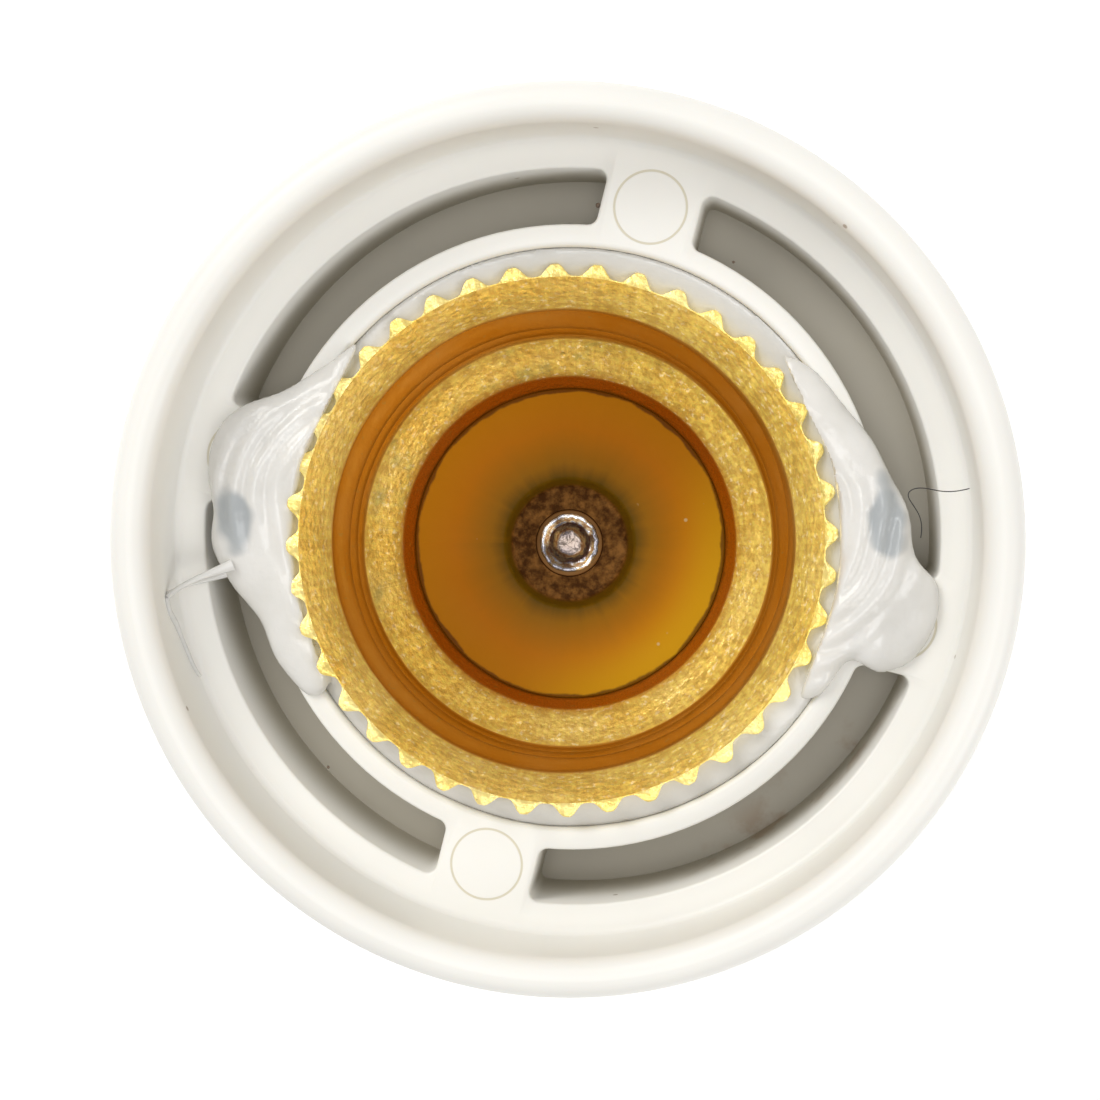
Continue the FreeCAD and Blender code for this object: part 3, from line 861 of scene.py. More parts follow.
@dataclass
class Housing:
    """White moulding with its lip, recess, slotted face, inner tube and spigot."""

    layout: Layout
    barrel_r: float = 23.9 * MM
    draft_deg: float = 1.2
    foot_fillet: float = 2.4 * MM
    lip_wall: float = 2.2 * MM
    recess_fillet: float = 0.4 * MM
    bore_r: float = 15.8 * MM
    tube_wall: float = 1.2 * MM
    tube_edge_r: float = 0.3 * MM
    pocket_outer_r: float = 20.0 * MM
    pocket_depth: float = 6.0 * MM
    pocket_corner_r: float = 0.55 * MM
    pocket_draft: float = 0.12 * MM
    edge_break: float = 0.16 * MM
    rib_w: float = 5.3 * MM
    floor_t: float = 2.4 * MM
    floor_hole_r: float = 6.0 * MM
    floor_z: float = 0.3 * MM
    register_r: float = 19.0 * MM
    register_h: float = 5.5 * MM
    spigot_r: float = 17.25 * MM
    spigot_wall: float = 2.6 * MM
    steps: int = 288

    def build(self, material: bpy.types.Material) -> None:
        """Make and dress the moulding."""
        item = piece_from("housing_skin", lathe(self._section(), self.steps))
        carve(item, joined([self._pocket(quarter) for quarter in range(4)]))
        hand_over(item, "housing", material, "housing")

    def _section(self) -> list[Point]:
        """Closed half section of the moulding."""
        top = self.layout.lip_z
        foot = self.layout.foot_z
        inner_r = self.barrel_r - self.lip_wall
        foot_r = self.barrel_r - top * math.tan(math.radians(self.draft_deg))
        cavity_r = self.spigot_r - self.spigot_wall
        lip_r = 0.49 * self.lip_wall
        return arc_corners([
            (self.spigot_r, foot, 0.0),
            (self.spigot_r, -self.register_h, 0.0),
            (self.register_r, -self.register_h, 0.0),
            (self.register_r, 0.0, 0.0),
            (foot_r, 0.0, self.foot_fillet),
            (self.barrel_r, top, lip_r),
            (inner_r, top, lip_r),
            (inner_r, self.layout.face_z, self.recess_fillet),
            (self.bore_r, self.layout.face_z, self.tube_edge_r),
            (self.bore_r, self.floor_z, 0.0),
            (self.floor_hole_r, self.floor_z, 0.0),
            (self.floor_hole_r, self.floor_z - self.floor_t, 0.0),
            (cavity_r, self.floor_z - self.floor_t, 0.0),
            (cavity_r, foot, 0.0),
        ], 8)

    def _outline(self, grow: float) -> list[Point]:
        """Rounded outline of the first pocket.

        Args:
            grow: How far every side stands out beyond the nominal one.

        Returns:
            Points of the closed outline, as many for each growth.
        """
        inner = self.bore_r + self.tube_wall - grow
        outer = self.pocket_outer_r + grow
        half = self.rib_w / 2.0 - grow
        corner_r = self.pocket_corner_r + grow
        stretches = 24
        corners: list[tuple[float, float, float]] = []
        for radius, steps in ((outer, range(stretches + 1)), (inner, range(stretches, -1, -1))):
            start = math.asin(half / radius)
            for step in steps:
                angle = start + (math.pi / 2 - 2 * start) * step / stretches
                edge_r = corner_r if step in (0, stretches) else 0.0
                corners.append((radius * math.cos(angle), radius * math.sin(angle), edge_r))
        return arc_corners(corners, 5)

    def _pocket(self, quarter: int) -> bmesh.types.BMesh:
        """Cutter of one arc pocket, narrower at its floor and eased at its edge.

        Args:
            quarter: Which of the four.

        Returns:
            The closed cutter.
        """
        level = self.layout.face_z
        turn = math.radians(self.layout.rib_angle_deg + 90.0 * quarter)
        stages = (
            (level - self.pocket_depth, -self.pocket_draft),
            (level - self.edge_break, 0.0),
            (level - self.edge_break * 0.35, self.edge_break * 0.3),
            (level + 0.01 * MM, self.edge_break),
            (level + 0.5 * MM, self.edge_break),
        )
        bm = bmesh.new()
        rings = [[bm.verts.new((x, y, z)) for x, y in self._outline(grow)] for z, grow in stages]
        bm.faces.new(rings[0])
        bm.faces.new(rings[-1])
        for low, high in zip(rings, rings[1:]):
            for index, vert in enumerate(low):
                after = (index + 1) % len(low)
                bm.faces.new((vert, low[after], high[after], high[index]))
        bmesh.ops.recalc_face_normals(bm, faces=bm.faces[:])
        bmesh.ops.rotate(bm, verts=bm.verts[:], cent=(0, 0, 0), matrix=Matrix.Rotation(turn, 3, "Z"))
        return bm


@dataclass
class SocketShell:
    """Pressed brass shell of the socket: toothed rim, flare, round thread, shoulder and neck."""

    layout: Layout
    sheet_t: float = 0.35 * MM
    teeth: int = 40
    first_tooth_deg: float = 1.5
    peak_r: float = 15.0 * MM
    valley_r: float = 14.32 * MM
    crest_r: float = 14.25 * MM
    mouth_r: float = 14.0 * MM
    flare_foot_r: float = 13.0 * MM
    flare_depth: float = 4.3 * MM
    pitch: float = 3.629 * MM
    thread_crest_r: float = 12.25 * MM
    thread_root_r: float = 13.3 * MM
    thread_depth: float = 9.3 * MM
    start_deg: float = 120.0
    shoulder_depth: float = 3.3 * MM
    neck_top_r: float = 10.3 * MM
    neck_r: float = 9.7 * MM
    neck_depth: float = 1.9 * MM
    neck_skirt: float = 3.05 * MM
    steps: int = 480
    inner_rows: int = 118
    outer_rows: int = 60
    rim_skip: float = 0.45 * MM
    ledge: float = 0.05 * MM

    @property
    def thread_end(self) -> float:
        """Depth at which the thread ends."""
        return self.flare_depth + self.thread_depth

    @property
    def seat_depth(self) -> float:
        """Depth of the insulator's face below the rim."""
        return self.thread_end + self.shoulder_depth + self.neck_depth

    def build(self, material: bpy.types.Material) -> None:
        """Make and dress the shell."""
        bm = lathe(self._section(), self.steps)
        for vert in bm.verts:
            self._press(vert)
        bmesh.ops.transform(bm, matrix=self.layout.socket_matrix, verts=bm.verts[:])
        hand_over(piece_from("socket_shell_skin", bm, 50.0), "socket_brass", material, "socket_shell")

    def _mean_radius(self, depth: float) -> float:
        """Inner radius without the thread's wave."""
        shoulder_end = self.thread_end + self.shoulder_depth
        if depth < self.flare_depth:
            bell = (1.0 - depth / self.flare_depth) ** 1.7
            return self.flare_foot_r + (self.crest_r - self.flare_foot_r) * bell
        if depth >= shoulder_end:
            fall = ease(depth, shoulder_end, shoulder_end + self.neck_depth)
            return self.neck_top_r + (self.neck_r - self.neck_top_r) * fall
        mean = (self.thread_crest_r + self.thread_root_r) / 2.0
        grow, late = thread_ends(depth, self.flare_depth, self.thread_end, self.pitch)
        radius = self.flare_foot_r + (mean - self.flare_foot_r) * grow
        radius += (self.thread_crest_r - mean) * late
        return radius + (self.neck_top_r - self.thread_crest_r) * ease(depth, self.thread_end, shoulder_end)

    def _wave(self, depth: float, angle: float) -> float:
        """Thread's radial wave at a depth and an angle."""
        swing = (self.thread_root_r - self.thread_crest_r) / 2.0
        grow, late = thread_ends(depth, self.flare_depth, self.thread_end, self.pitch)
        turn = angle - math.radians(self.start_deg) + TURN * depth / self.pitch
        return -swing * math.cos(turn) * grow * (1.0 - late)

    def _section(self) -> list[Point]:
        """Closed half section of the unwaved shell, rim first."""
        length = self.seat_depth + self.neck_skirt
        inner: list[Point] = []
        for row in range(self.inner_rows + 1):
            depth = length * row / self.inner_rows
            inner.append((self._mean_radius(depth), -depth))
        outer: list[Point] = []
        for row in range(self.outer_rows, -1, -1):
            depth = self.rim_skip + (length - self.rim_skip) * row / self.outer_rows
            slope = slope_at(self._mean_radius, depth)
            outer.append((self._mean_radius(depth) + self.sheet_t * math.hypot(1.0, slope), -depth))
        rim = [
            (self.peak_r - 0.30 * MM, -0.40 * MM),
            (self.peak_r - 0.05 * MM, -0.40 * MM),
            (self.peak_r, -0.33 * MM),
            (self.peak_r, -0.20 * MM),
            (self.peak_r - 0.06 * MM, -self.ledge - 0.02 * MM),
            (self.peak_r - 0.22 * MM, -self.ledge),
            (self.peak_r - 0.45 * MM, -self.ledge),
            (self.crest_r + 0.12 * MM, -self.ledge),
            (self.crest_r + 0.06 * MM, -0.01 * MM),
        ]
        return inner + outer + rim

    def _lobe(self, angle: float) -> float:
        """Share of a tooth's height at an angle: 1 on a peak and 0 in a valley."""
        pitch = TURN / self.teeth
        away = (angle - math.radians(self.first_tooth_deg)) / pitch
        away = abs(away - round(away)) * 2.0
        return 1.0 - ease(away, 0.12, 0.80)

    def _press(self, vert: bmesh.types.BMVert) -> None:
        """Move one point by the thread's wave and the teeth of the rim."""
        radius, angle = polar(vert.co)
        depth = -vert.co.z
        place = radius + self._wave(depth, angle)
        lobe = self._lobe(angle)
        rim = ease(radius, self.crest_r, self.peak_r)
        if depth < 0.5 * MM and radius > self.crest_r:
            uneven = 0.12 * MM * (noise.noise(Vector((math.cos(angle), math.sin(angle), 0.0)) * 9.0))
            reach = self.valley_r + (self.peak_r + uneven - self.valley_r) * lobe
            share = (radius - self.crest_r) / (self.peak_r - self.crest_r)
            place = self.crest_r + (reach - self.crest_r) * share
        left = 0.35 + 0.65 * ease(-math.cos(angle), -0.2, 0.8)
        pleat = 0.13 * MM * left * (1.0 - ease(depth, 0.2 * MM, 3.2 * MM))
        crinkle = noise.noise(Vector((math.cos(angle) * 16.0, math.sin(angle) * 16.0, radius * 500.0)))
        height = vert.co.z + pleat * ((lobe - 0.5) * 1.4 + crinkle) * (1.0 - rim * 0.4)
        swell_at = Vector((math.cos(angle) * 5.0, math.sin(angle) * 5.0, depth * 900.0))
        swell = 0.03 * MM * noise.noise(swell_at)
        scale = (place + swell) / radius
        vert.co = Vector((vert.co.x * scale, vert.co.y * scale, height))


@dataclass
class SocketFloor:
    """Insulator disc, eyelet and solder at the bottom of the socket."""

    layout: Layout
    seat_depth: float
    disc_r: float = 9.68 * MM
    disc_t: float = 2.8 * MM
    boss_r: float = 3.6 * MM
    boss_h: float = 0.8 * MM
    eyelet_r: float = 1.75 * MM
    eyelet_wall: float = 0.25 * MM
    flange_r: float = 2.1 * MM
    flange_t: float = 0.25 * MM
    tail: float = 1.2 * MM
    plug_h: float = 1.6 * MM
    solder_lap: float = 0.32 * MM
    dish_depth: float = 0.42 * MM
    steps: int = 192

    def build(self, amber: bpy.types.Material, brass: bpy.types.Material, solder: bpy.types.Material) -> None:
        """Make and dress the three pieces."""
        self._place("insulator_skin", self._insulator(), "socket_insulator", amber, "socket_insulator")
        self._place("eyelet_skin", self._eyelet(), "eyelet", brass, "socket_eyelet")
        self._place("solder_skin", self._solder(), "solder", solder, "socket_solder")

    def _place(self, name: str, bm: bmesh.types.BMesh, slot: str, material: bpy.types.Material,
               node: str) -> None:
        """Lean a mesh into the socket and hand it over."""
        bmesh.ops.transform(bm, matrix=self.layout.socket_matrix, verts=bm.verts[:])
        hand_over(piece_from(name, bm), slot, material, node)

    def _insulator(self) -> bmesh.types.BMesh:
        """Disc with a rounded, slightly crumbled boss."""
        top = -self.seat_depth
        boss_top = top + self.boss_h
        bm = lathe(arc_corners([
            (self.eyelet_r, top - self.disc_t, 0.0),
            (self.disc_r, top - self.disc_t, 0.1 * MM),
            (self.disc_r, top + 0.05 * MM, 0.12 * MM),
            (self.disc_r * 0.5, top, 0.0),
            (self.boss_r + 0.4 * MM, top, 0.35 * MM),
            (self.boss_r - 0.1 * MM, boss_top, 0.35 * MM),
            (self.flange_r, boss_top, 0.0),
            (self.flange_r, boss_top - self.flange_t, 0.0),
            (self.eyelet_r, boss_top - self.flange_t, 0.0),
        ], 6), self.steps)
        for vert in bm.verts:
            radius = math.hypot(vert.co.x, vert.co.y)
            if vert.co.z > top + 0.02 * MM and self.flange_r * 1.02 < radius < self.boss_r * 1.1:
                rough = noise.noise(vert.co * 1500.0) + 0.5 * noise.noise(vert.co * 3400.0)
                vert.co.z += 0.12 * MM * rough
                vert.co.x *= 1.0 + 0.015 * rough
        return bm

    def _eyelet(self) -> bmesh.types.BMesh:
        """Flanged tube with a rolled rim."""
        top = -self.seat_depth + self.boss_h
        foot = -self.seat_depth - self.disc_t - self.tail
        bore_r = self.eyelet_r - self.eyelet_wall
        seat = top - self.flange_t
        return lathe(arc_corners([
            (bore_r, foot, 0.0),
            (self.eyelet_r, foot, 0.0),
            (self.eyelet_r, seat, 0.0),
            (self.flange_r, seat, 0.05 * MM),
            (self.flange_r, top, 0.11 * MM),
            (bore_r, top, 0.11 * MM),
        ], 5), 96)

    def _solder(self) -> bmesh.types.BMesh:
        """Solder plug with a scalloped, dished top."""
        top = -self.seat_depth + self.boss_h
        bore_r = self.eyelet_r - self.eyelet_wall
        lap_r = bore_r + self.solder_lap
        section: list[Point] = [
            (0.0, top - self.plug_h),
            (bore_r, top - self.plug_h),
            (bore_r, top + 0.005 * MM),
            (lap_r, top + 0.005 * MM),
            (lap_r - 0.03 * MM, top + 0.07 * MM),
            (lap_r - 0.12 * MM, top + 0.11 * MM),
            (bore_r + 0.05 * MM, top + 0.09 * MM),
            (bore_r - 0.08 * MM, top - 0.03 * MM),
        ]
        rings = 12
        for ring in range(1, rings + 1):
            radius = (bore_r - 0.08 * MM) * (1.0 - ring / rings)
            section.append((radius, top - 0.03 * MM - self.dish_depth * ease(ring / rings, 0.0, 0.55)))
        bm = lathe(section, 120, closed=False)
        for vert in bm.verts:
            radius, angle = polar(vert.co)
            if vert.co.z > top - 0.6 * MM:
                scallop = 1.0 + 0.014 * math.sin(9.0 * angle + 3.0 * math.sin(2.0 * angle))
                vert.co.x *= scallop
                vert.co.y *= scallop
                vert.co.z += 0.05 * MM * noise.noise(vert.co * 2600.0) * ease(lap_r - radius, 0.0, 0.2 * MM)
        return bm


@dataclass
class GlueBead:
    """Hot-melt glue: a ring round the shell, a blob over each of two ribs, and drawn-out threads."""

    layout: Layout
    bore_r: float = 15.8 * MM
    brass_r: float = 14.06 * MM
    depth: float = 3.4 * MM
    blob_h: float = 1.15 * MM
    voxel: float = 0.16 * MM
    left: tuple[Point, ...] = (
        (-11.4, 10.6), (-13.2, 9.5), (-15.6, 8.1), (-17.8, 7.3), (-19.2, 6.0), (-19.8, 3.9),
        (-19.5, 1.6), (-19.6, -0.4), (-18.5, -2.6), (-16.9, -4.6), (-15.9, -6.9), (-14.2, -8.7),
        (-13.1, -8.0), (-14.0, -5.6), (-14.7, -2.4), (-14.9, 1.2), (-14.3, 4.4), (-13.0, 7.4),
    )
    right: tuple[Point, ...] = (
        (11.6, 9.9), (13.2, 9.2), (14.9, 7.2), (16.3, 5.5), (17.3, 3.6), (18.3, 1.6), (18.7, -0.8),
        (19.9, -2.4), (19.8, -4.4), (18.6, -6.4), (16.8, -7.1), (15.2, -6.5), (13.7, -8.3),
        (12.6, -8.4), (13.6, -5.6), (14.5, -2.2), (14.6, 1.2), (14.0, 4.8), (12.6, 7.9),
    )

    def build(self, material: bpy.types.Material) -> None:
        """Make and dress the bead and its threads."""
        whole = joined([self._ring(), self._blob(self.left), self._blob(self.right)])
        item = piece_from("glue_skin", whole)
        remesh = item.modifiers.new("merge", "REMESH")
        remesh.mode = "VOXEL"
        remesh.voxel_size = self.voxel
        remesh.use_smooth_shade = True
        smooth = item.modifiers.new("melt", "SMOOTH")
        smooth.factor = 0.5
        smooth.iterations = 5
        settle(item)
        self._ripple(item.data)
        hand_over(item, "glue", material, "glue_bead")
        self._threads(material)

    def _sink(self, angle: float) -> float:
        """How far the leaning rim stands below its centre at an angle."""
        lean = math.radians(self.layout.lean_deg)
        return self.brass_r * math.sin(lean) * math.cos(angle - math.radians(self.layout.lean_towards_deg))

    def _ring(self) -> bmesh.types.BMesh:
        """Ring of glue between the shell and the bore."""
        count = 18
        section: list[Point] = []
        for index in range(count):
            angle = TURN * index / count
            section.append((0.5 + 0.5 * math.cos(angle), 0.5 + 0.5 * math.sin(angle)))
        bm = lathe([(2.0 + across, height) for across, height in section], 240)
        for vert in bm.verts:
            angle = math.atan2(vert.co.y, vert.co.x)
            across = math.hypot(vert.co.x, vert.co.y) - 2.0
            height = vert.co.z
            way = Vector((math.cos(angle), math.sin(angle), 0.0))
            shift = Vector((*self.layout.rim_shift, 0.0)) - Vector((0.05 * MM, 0.06 * MM, 0.0))
            inner = self.brass_r + shift.dot(way)
            across = ease(across, 0.0, 1.0) * 0.5 + across * 0.5
            radius = inner + (self.bore_r + 0.02 * MM - inner) * across
            near = self.layout.face_z + self.layout.rim_proud - 0.75 * MM - self._sink(angle)
            far = self.layout.face_z - 0.45 * MM
            wander = 0.18 * MM * noise.noise(way * 4.0 + Vector((0, 0, 3.0)))
            top = near + (far - near) * ease(across, 0.0, 1.0) + wander
            bottom = self.layout.face_z - self.depth
            lift = min(height * 1.6, 1.0)
            vert.co = way * radius + Vector((0.0, 0.0, bottom + (top - bottom) * lift))
        return bm

    def _blob(self, outline: Sequence[Point]) -> bmesh.types.BMesh:
        """Rounded mound inside a smooth closed outline.

        Args:
            outline: Points round the mound, in millimetres.

        Returns:
            The closed mesh, resting on the slotted face.
        """
        knots = [Vector((x * MM, y * MM, 0.0)) for x, y in outline]
        centre = sum(knots, Vector()) / len(knots)
        rings = 16
        section: list[Point] = [(0.0, -0.25), (0.86, -0.25), (0.95, 0.0)]
        for ring in range(1, rings + 1):
            angle = math.pi / 2 * ring / rings
            section.append((math.cos(angle) ** 0.5 if ring < rings else 0.0, math.sin(angle) ** 0.8))
        bm = lathe(section, 160, closed=False)
        for vert in bm.verts:
            share = math.hypot(vert.co.x, vert.co.y)
            turn = (math.atan2(vert.co.y, vert.co.x) / TURN) % 1.0
            edge = self._along(knots, turn)
            spot = centre + (edge - centre) * share
            height = self.layout.face_z + vert.co.z * self.blob_h
            vert.co = Vector((spot.x, spot.y, height))
        bmesh.ops.recalc_face_normals(bm, faces=bm.faces[:])
        return bm

    @staticmethod
    def _along(knots: Sequence[Vector], share: float) -> Vector:
        """Point on a smooth closed curve through the knots."""
        count = len(knots)
        place = share * count
        index = int(place) % count
        step = place - int(place)
        before, here, after, beyond = (knots[(index + shift) % count] for shift in (-1, 0, 1, 2))
        bend = (2 * before - 5 * here + 4 * after - beyond) * step ** 2
        twist = (3 * here - before - 3 * after + beyond) * step ** 3
        return 0.5 * (2 * here + (after - before) * step + bend + twist)

    def _ripple(self, mesh: bpy.types.Mesh) -> None:
        """Lay the ripples that the nozzle leaves, and uneven swelling."""
        for vert in mesh.vertices:
            spot = vert.co
            side = -1.0 if spot.x < 0.0 else 1.0
            hub = Vector((side * 11.0 * MM, 1.5 * MM, spot.z))
            reach = (spot - hub).length
            above = ease(spot.z, self.layout.face_z - 0.2 * MM, self.layout.face_z + 0.5 * MM)
            wave = math.sin(reach / (1.15 * MM) * TURN + 2.5 * noise.noise(spot * 260.0))
            swell = noise.noise(spot * 420.0)
            patch = ease(noise.noise(spot * 190.0 + Vector((2.0, 1.0, 0.0))), -0.15, 0.3)
            vert.co.z += above * MM * (0.085 * wave * patch + 0.22 * swell)

    def _threads(self, material: bpy.types.Material) -> None:
        """Threads of glue that the nozzle drew to the wall of the recess."""
        face = self.layout.face_z
        routes = {
            "glue_thread": (
                ((-18.2, -1.4, 1.2), (-19.4, -1.9, 1.6), (-20.8, -2.3, 2.2), (-21.4, -3.1, 2.9)),
                (0.34, 0.16, 0.10, 0.16),
            ),
            "glue_thread_short": (
                ((-18.6, -1.9, 1.0), (-19.6, -2.3, 1.3), (-20.9, -2.5, 2.0), (-21.5, -2.9, 2.6)),
                (0.22, 0.08, 0.06, 0.10),
            ),
            "glue_loop": (
                ((-21.4, -3.1, 2.9), (-21.4, -3.8, 3.0), (-21.1, -4.4, 2.2), (-21.0, -5.4, 1.6),
                 (-20.7, -6.3, 1.2), (-20.5, -7.2, 0.9), (-20.2, -7.6, 0.5)),
                (0.16, 0.20, 0.16, 0.14, 0.15, 0.17, 0.08),
            ),
        }
        for name, (points, radii) in routes.items():
            places = [Vector((x * MM, y * MM, face + z * MM)) for x, y, z in points]
            hand_over(strand(name, places, [radius * MM for radius in radii]), "glue", material)


@dataclass
class Dirt:
    """A stray fibre and specks of dust."""

    layout: Layout
    seed: int = 11

    def build(self, fibre: bpy.types.Material, crumb: bpy.types.Material) -> None:
        """Make and dress the fibre and the specks."""
        face = self.layout.face_z
        points = (
            (21.2, 2.9, 3.0), (20.2, 2.6, 2.6), (19.2, 2.9, 2.0), (18.4, 2.9, 1.6), (18.0, 2.5, 1.4),
            (18.6, 1.8, 1.3), (19.0, 1.0, 1.0), (18.9, 0.2, 0.6),
        )
        places = [Vector((x * MM, y * MM, face + z * MM)) for x, y, z in points]
        hand_over(strand("stray_fibre", places, [0.028 * MM] * len(places), 1), "wire_white", fibre)
        specks = (
            (1.62, 18.0, -0.3, 0.13), (-17.9, 13.4, 0.9, 0.10), (13.4, -19.5, 0.9, 0.12),
            (10.2, -21.6, 3.6, 0.09), (-13.2, -12.6, 0.1, 0.08), (8.9, 14.9, 0.0, 0.08),
        )
        bm = bmesh.new()
        chance = random.Random(self.seed)
        for x, y, z, size in specks:
            made = bmesh.ops.create_icosphere(bm, subdivisions=1, radius=size * MM)["verts"]
            for vert in made:
                vert.co *= 1.0 + 0.4 * chance.random()
            bmesh.ops.translate(bm, verts=made, vec=(x * MM, y * MM, face + z * MM))
        hand_over(piece_from("dust_specks", bm, 80.0), "wire_white", crumb)


@dataclass
class ScrewBase:
    """Screw shell below the barrel, with its insulator, contact and solder."""

    sheet_t: float = 0.5 * MM
    pitch: float = 6.35 * MM
    crest_r: float = 19.6 * MM
    root_r: float = 17.85 * MM
    collar_depth: float = 5.5 * MM
    thread_depth: float = 28.0 * MM
    cone_depth: float = 5.5 * MM
    opening_r: float = 13.4 * MM
    tip_r: float = 8.6 * MM
    insulator_h: float = 3.0 * MM
    insulator_grip: float = 3.0 * MM
    contact_r: float = 7.4 * MM
    contact_t: float = 0.9 * MM
    contact_rim: float = 0.4 * MM
    solder_r: float = 3.4 * MM
    solder_h: float = 0.9 * MM
    stem_r: float = 2.2 * MM
    stem_bore_r: float = 1.2 * MM
    stem_tail: float = 1.5 * MM
    clear: float = 0.02 * MM
    rows: int = 130
    steepest: float = 1.3
    steps: int = 288

    @property
    def thread_end(self) -> float:
        """Depth at which the thread ends."""
        return self.collar_depth + self.thread_depth

    @property
    def length(self) -> float:
        """Length of the shell below the barrel."""
        return self.thread_end + self.cone_depth

    def build(self, metal: bpy.types.Material, black: bpy.types.Material, brass: bpy.types.Material,
              solder: bpy.types.Material) -> None:
        """Make and dress the four pieces."""
        bm = lathe(self._section(), self.steps)
        for vert in bm.verts:
            radius, angle = polar(vert.co)
            scale = (radius + self._wave(-vert.co.z, angle)) / radius
            vert.co.x *= scale
            vert.co.y *= scale
        hand_over(piece_from("base_shell_skin", bm), "base_metal", metal, "base_shell")
        plug = piece_from("base_insulator_skin", self._insulator())
        hand_over(plug, "base_insulator", black, "base_insulator")
        hand_over(piece_from("base_contact_skin", self._contact()), "eyelet", brass, "base_contact")
        hand_over(piece_from("base_solder_skin", self._solder()), "solder", solder, "base_solder")

    def _mean_radius(self, depth: float) -> float:
        """Outer radius without the thread's wave."""
        mean = (self.crest_r + self.root_r) / 2.0
        grow, late = thread_ends(depth, self.collar_depth, self.thread_end, self.pitch)
        radius = self.crest_r + (mean - self.crest_r) * grow + (self.root_r - mean) * late
        cone = min(max((depth - self.thread_end) / self.cone_depth, 0.0), 1.0)
        return radius - (self.root_r - self.opening_r) * cone ** 1.5

    def _wave(self, depth: float, angle: float) -> float:
        """Thread's radial wave at a depth and an angle."""
        grow, late = thread_ends(depth, self.collar_depth, self.thread_end, self.pitch)
        turn = angle + TURN * depth / self.pitch
        return (self.crest_r - self.root_r) / 2.0 * math.cos(turn) * grow * (1.0 - late)

    def _section(self) -> list[Point]:
        """Closed half section of the unwaved sheet."""
        outer = []
        inner = []
        for row in range(self.rows + 1):
            depth = self.length * row / self.rows
            outer.append((self._mean_radius(depth), -depth))
        for row in range(self.rows, -1, -2):
            depth = self.length * row / self.rows
            slope = slope_at(self._mean_radius, depth)
            slope = max(min(slope, self.steepest), -self.steepest)
            inner.append((self._mean_radius(depth) - self.sheet_t * math.hypot(1.0, slope), -depth))
        return outer + inner

    def _insulator(self) -> bmesh.types.BMesh:
        """Tapered plug of black glass with a rounded shoulder."""
        top = -self.length + self.insulator_grip
        opening = -self.length - self.clear
        tip = -self.length - self.insulator_h
        plug_r = self.opening_r - self.sheet_t * 1.6 - self.clear
        seat = tip + self.contact_t - self.contact_rim
        return lathe(arc_corners([
            (self.stem_r, top, 0.0),
            (plug_r, top, 0.2 * MM),
            (plug_r, opening, 0.0),
            (self.opening_r - 0.05 * MM, opening, 0.25 * MM),
            (self.tip_r, tip, 0.5 * MM),
            (self.contact_r, tip, 0.0),
            (self.contact_r, seat, 0.0),
            (self.stem_r, seat, 0.0),
        ], 6), 144)

    def _contact(self) -> bmesh.types.BMesh:
        """Contact plate with a rounded edge and a tubular stem."""
        tip = -self.length - self.insulator_h
        top = tip + self.contact_t - self.contact_rim
        under = top - self.contact_t
        stem = -self.length + self.insulator_grip + self.stem_tail
        return lathe(arc_corners([
            (self.stem_bore_r, under, 0.0),
            (self.contact_r, under, 0.36 * MM),
            (self.contact_r, top, 0.05 * MM),
            (self.stem_r, top, 0.0),
            (self.stem_r, stem, 0.1 * MM),
            (self.stem_bore_r, stem, 0.1 * MM),
        ], 5), 120)

    def _solder(self) -> bmesh.types.BMesh:
        """Slightly lopsided solder dome with its root in the stem."""
        under = -self.length - self.insulator_h - self.contact_rim
        section: list[Point] = [(0.0, under - self.solder_h)]
        rings = 18
        for ring in range(1, rings + 1):
            angle = math.pi / 2 * ring / rings
            section.append((self.solder_r * math.sin(angle), under - self.solder_h * math.cos(angle)))
        root = under + self.contact_t
        section += [(self.stem_bore_r, under), (self.stem_bore_r, root), (0.0, root)]
        bm = lathe(section, 96, closed=False)
        for vert in bm.verts:
            if under - self.solder_h * 0.98 < vert.co.z < under - 0.02 * MM:
                swell = noise.noise(vert.co * 380.0)
                vert.co.x *= 1.0 + 0.05 * swell
                vert.co.y *= 1.0 + 0.05 * swell
        return bm


@dataclass
class Leads:
    """Leads and joints inside the housing, which keep their frame shapes."""

    nodes: dict[str, bpy.types.Object]
    finishes: dict[str, bpy.types.Material]

    def dress(self) -> None:
        """Give each inner node its finish."""
        for name, material in self.finishes.items():
            item = self.nodes[name]
            item.data.materials.clear()
            item.data.materials.append(material)
            LOG.info("%s dressed", name)


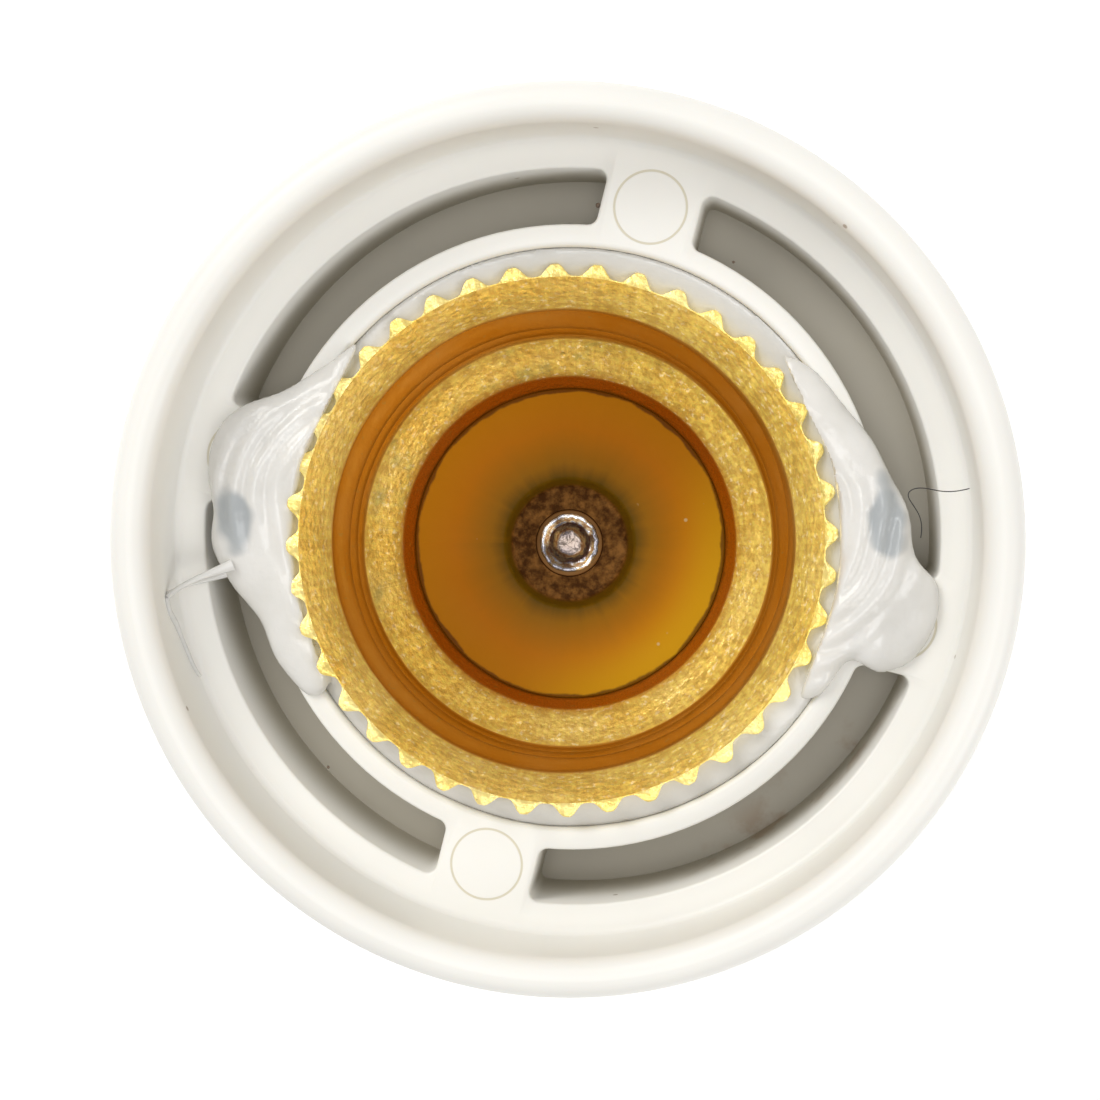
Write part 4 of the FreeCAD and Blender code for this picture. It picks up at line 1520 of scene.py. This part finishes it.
@dataclass
class Studio:
    """Pale floor, soft light and the camera at the photograph's angle."""

    layout: Layout
    tip_z: float
    eye: tuple[float, float, float] = (9.7 * MM, 6.2 * MM, 114.4 * MM)
    look: tuple[float, float, float] = (-0.088, -0.056, -0.9945)
    lens_mm: float = 73.0

    def build(self) -> None:
        """Set the stage, the lights and the camera."""
        self._floor()
        self._world()
        self._lights()
        self._camera()

    def _floor(self) -> None:
        """Wide pale floor under the tip."""
        bm = bmesh.new()
        bmesh.ops.create_grid(bm, x_segments=1, y_segments=1, size=4.0)
        bmesh.ops.translate(bm, verts=bm.verts[:], vec=(0, 0, self.tip_z))
        item = piece_from("floor", bm)
        sheet = Sheet("pale_floor")
        item.data.materials.append(sheet.finish(Base_Color=(0.93, 0.93, 0.92), Roughness=0.8,
                                                Emission_Color=(1, 1, 1), Emission_Strength=0.26))
        item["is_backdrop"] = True

    def _world(self) -> None:
        """Even white surroundings."""
        world = bpy.data.worlds.new("surroundings")
        world.use_nodes = True
        back = world.node_tree.nodes["Background"]
        back.inputs["Color"].default_value = (1.0, 0.995, 0.985, 1.0)
        back.inputs["Strength"].default_value = 0.55
        bpy.context.scene.world = world
        bpy.context.scene.view_settings.view_transform = "Standard"

    def _lights(self) -> None:
        """Large soft panels."""
        panels = (
            ("key", (-0.30, 0.34, 0.42), 0.30, 1.75, (1.0, 0.99, 0.965)),
            ("fill", (0.40, -0.22, 0.36), 0.26, 0.85, (1.0, 0.99, 0.975)),
            ("top", (0.02, 0.0, 0.60), 0.22, 0.55, (1.0, 1.0, 1.0)),
        )
        aim = Vector((0.0, 0.0, self.layout.face_z))
        for name, place, size, power, colour in panels:
            light = bpy.data.lights.new(name, "AREA")
            light.shape = "SQUARE"
            light.size = size
            light.energy = power
            light.color = colour
            item = bpy.data.objects.new(name, light)
            item.location = place
            item.rotation_euler = (aim - Vector(place)).to_track_quat("-Z", "Y").to_euler()
            bpy.context.scene.collection.objects.link(item)

    def _camera(self) -> None:
        """Camera at the photograph's place."""
        data = bpy.data.cameras.new("view")
        data.sensor_width = 36.0
        data.lens = self.lens_mm
        data.clip_start = 0.01
        item = bpy.data.objects.new("view", data)
        item.location = Vector(self.eye) + Vector((0.0, 0.0, self.layout.lip_z))
        back = -Vector(self.look).normalized()
        side = Vector((0.0, 1.0, 0.0)).cross(back).normalized()
        up = back.cross(side)
        item.rotation_euler = Matrix((side, up, back)).transposed().to_euler()
        bpy.context.scene.collection.objects.link(item)
        bpy.context.scene.camera = item


def main() -> None:
    """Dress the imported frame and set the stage."""
    logging.basicConfig(level=logging.INFO, format="%(message)s")
    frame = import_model()
    box_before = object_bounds()
    layout = Layout(lip_z=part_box("housing")[1].z, foot_z=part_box("housing")[0].z)
    solder = TinSolder().make()
    contact_brass = PlatedSheet("contact_brass", (0.62, 0.44, 0.20), (0.40, 0.26, 0.12)).make()
    Housing(layout).build(WhitePlastic(layout).make())
    shell = SocketShell(layout)
    shell.build(PressedBrass(layout).make())
    tarnished = PlatedSheet("tarnished_brass", (0.17, 0.085, 0.03), (0.06, 0.03, 0.012), 0.42).make()
    floor = SocketFloor(layout, shell.seat_depth)
    floor.build(AmberResin(layout).make(), tarnished, EyeletSolder(layout).make())
    GlueBead(layout).build(HotGlue().make())
    fibre = PlainFinish("dark_fibre", (0.03, 0.028, 0.03)).make()
    crumb = PlainFinish("dust_crumb", (0.13, 0.09, 0.06)).make()
    Dirt(layout).build(fibre, crumb)
    nickel = PlatedSheet("plated_sheet", (0.78, 0.76, 0.72), (0.60, 0.57, 0.52)).make()
    black = PlainFinish("black_glass", (0.012, 0.012, 0.014), 0.12).make()
    ScrewBase().build(nickel, black, contact_brass, solder)
    copper = PlainFinish("copper_strand", (0.72, 0.36, 0.22), 0.3, 1.0, 1500.0).make()
    Leads(frame["nodes"], {
        "centre_wire": PlainFinish("red_insulation", (0.45, 0.02, 0.02)).make(),
        "centre_wire_core": copper,
        "shell_wire": PlainFinish("white_insulation", (0.72, 0.72, 0.70)).make(),
        "shell_wire_core": copper,
        "shell_joint": solder,
        "base_joint": solder,
    }).dress()
    Studio(layout, box_before[0][2]).build()


if __name__ == "__main__":
    main()
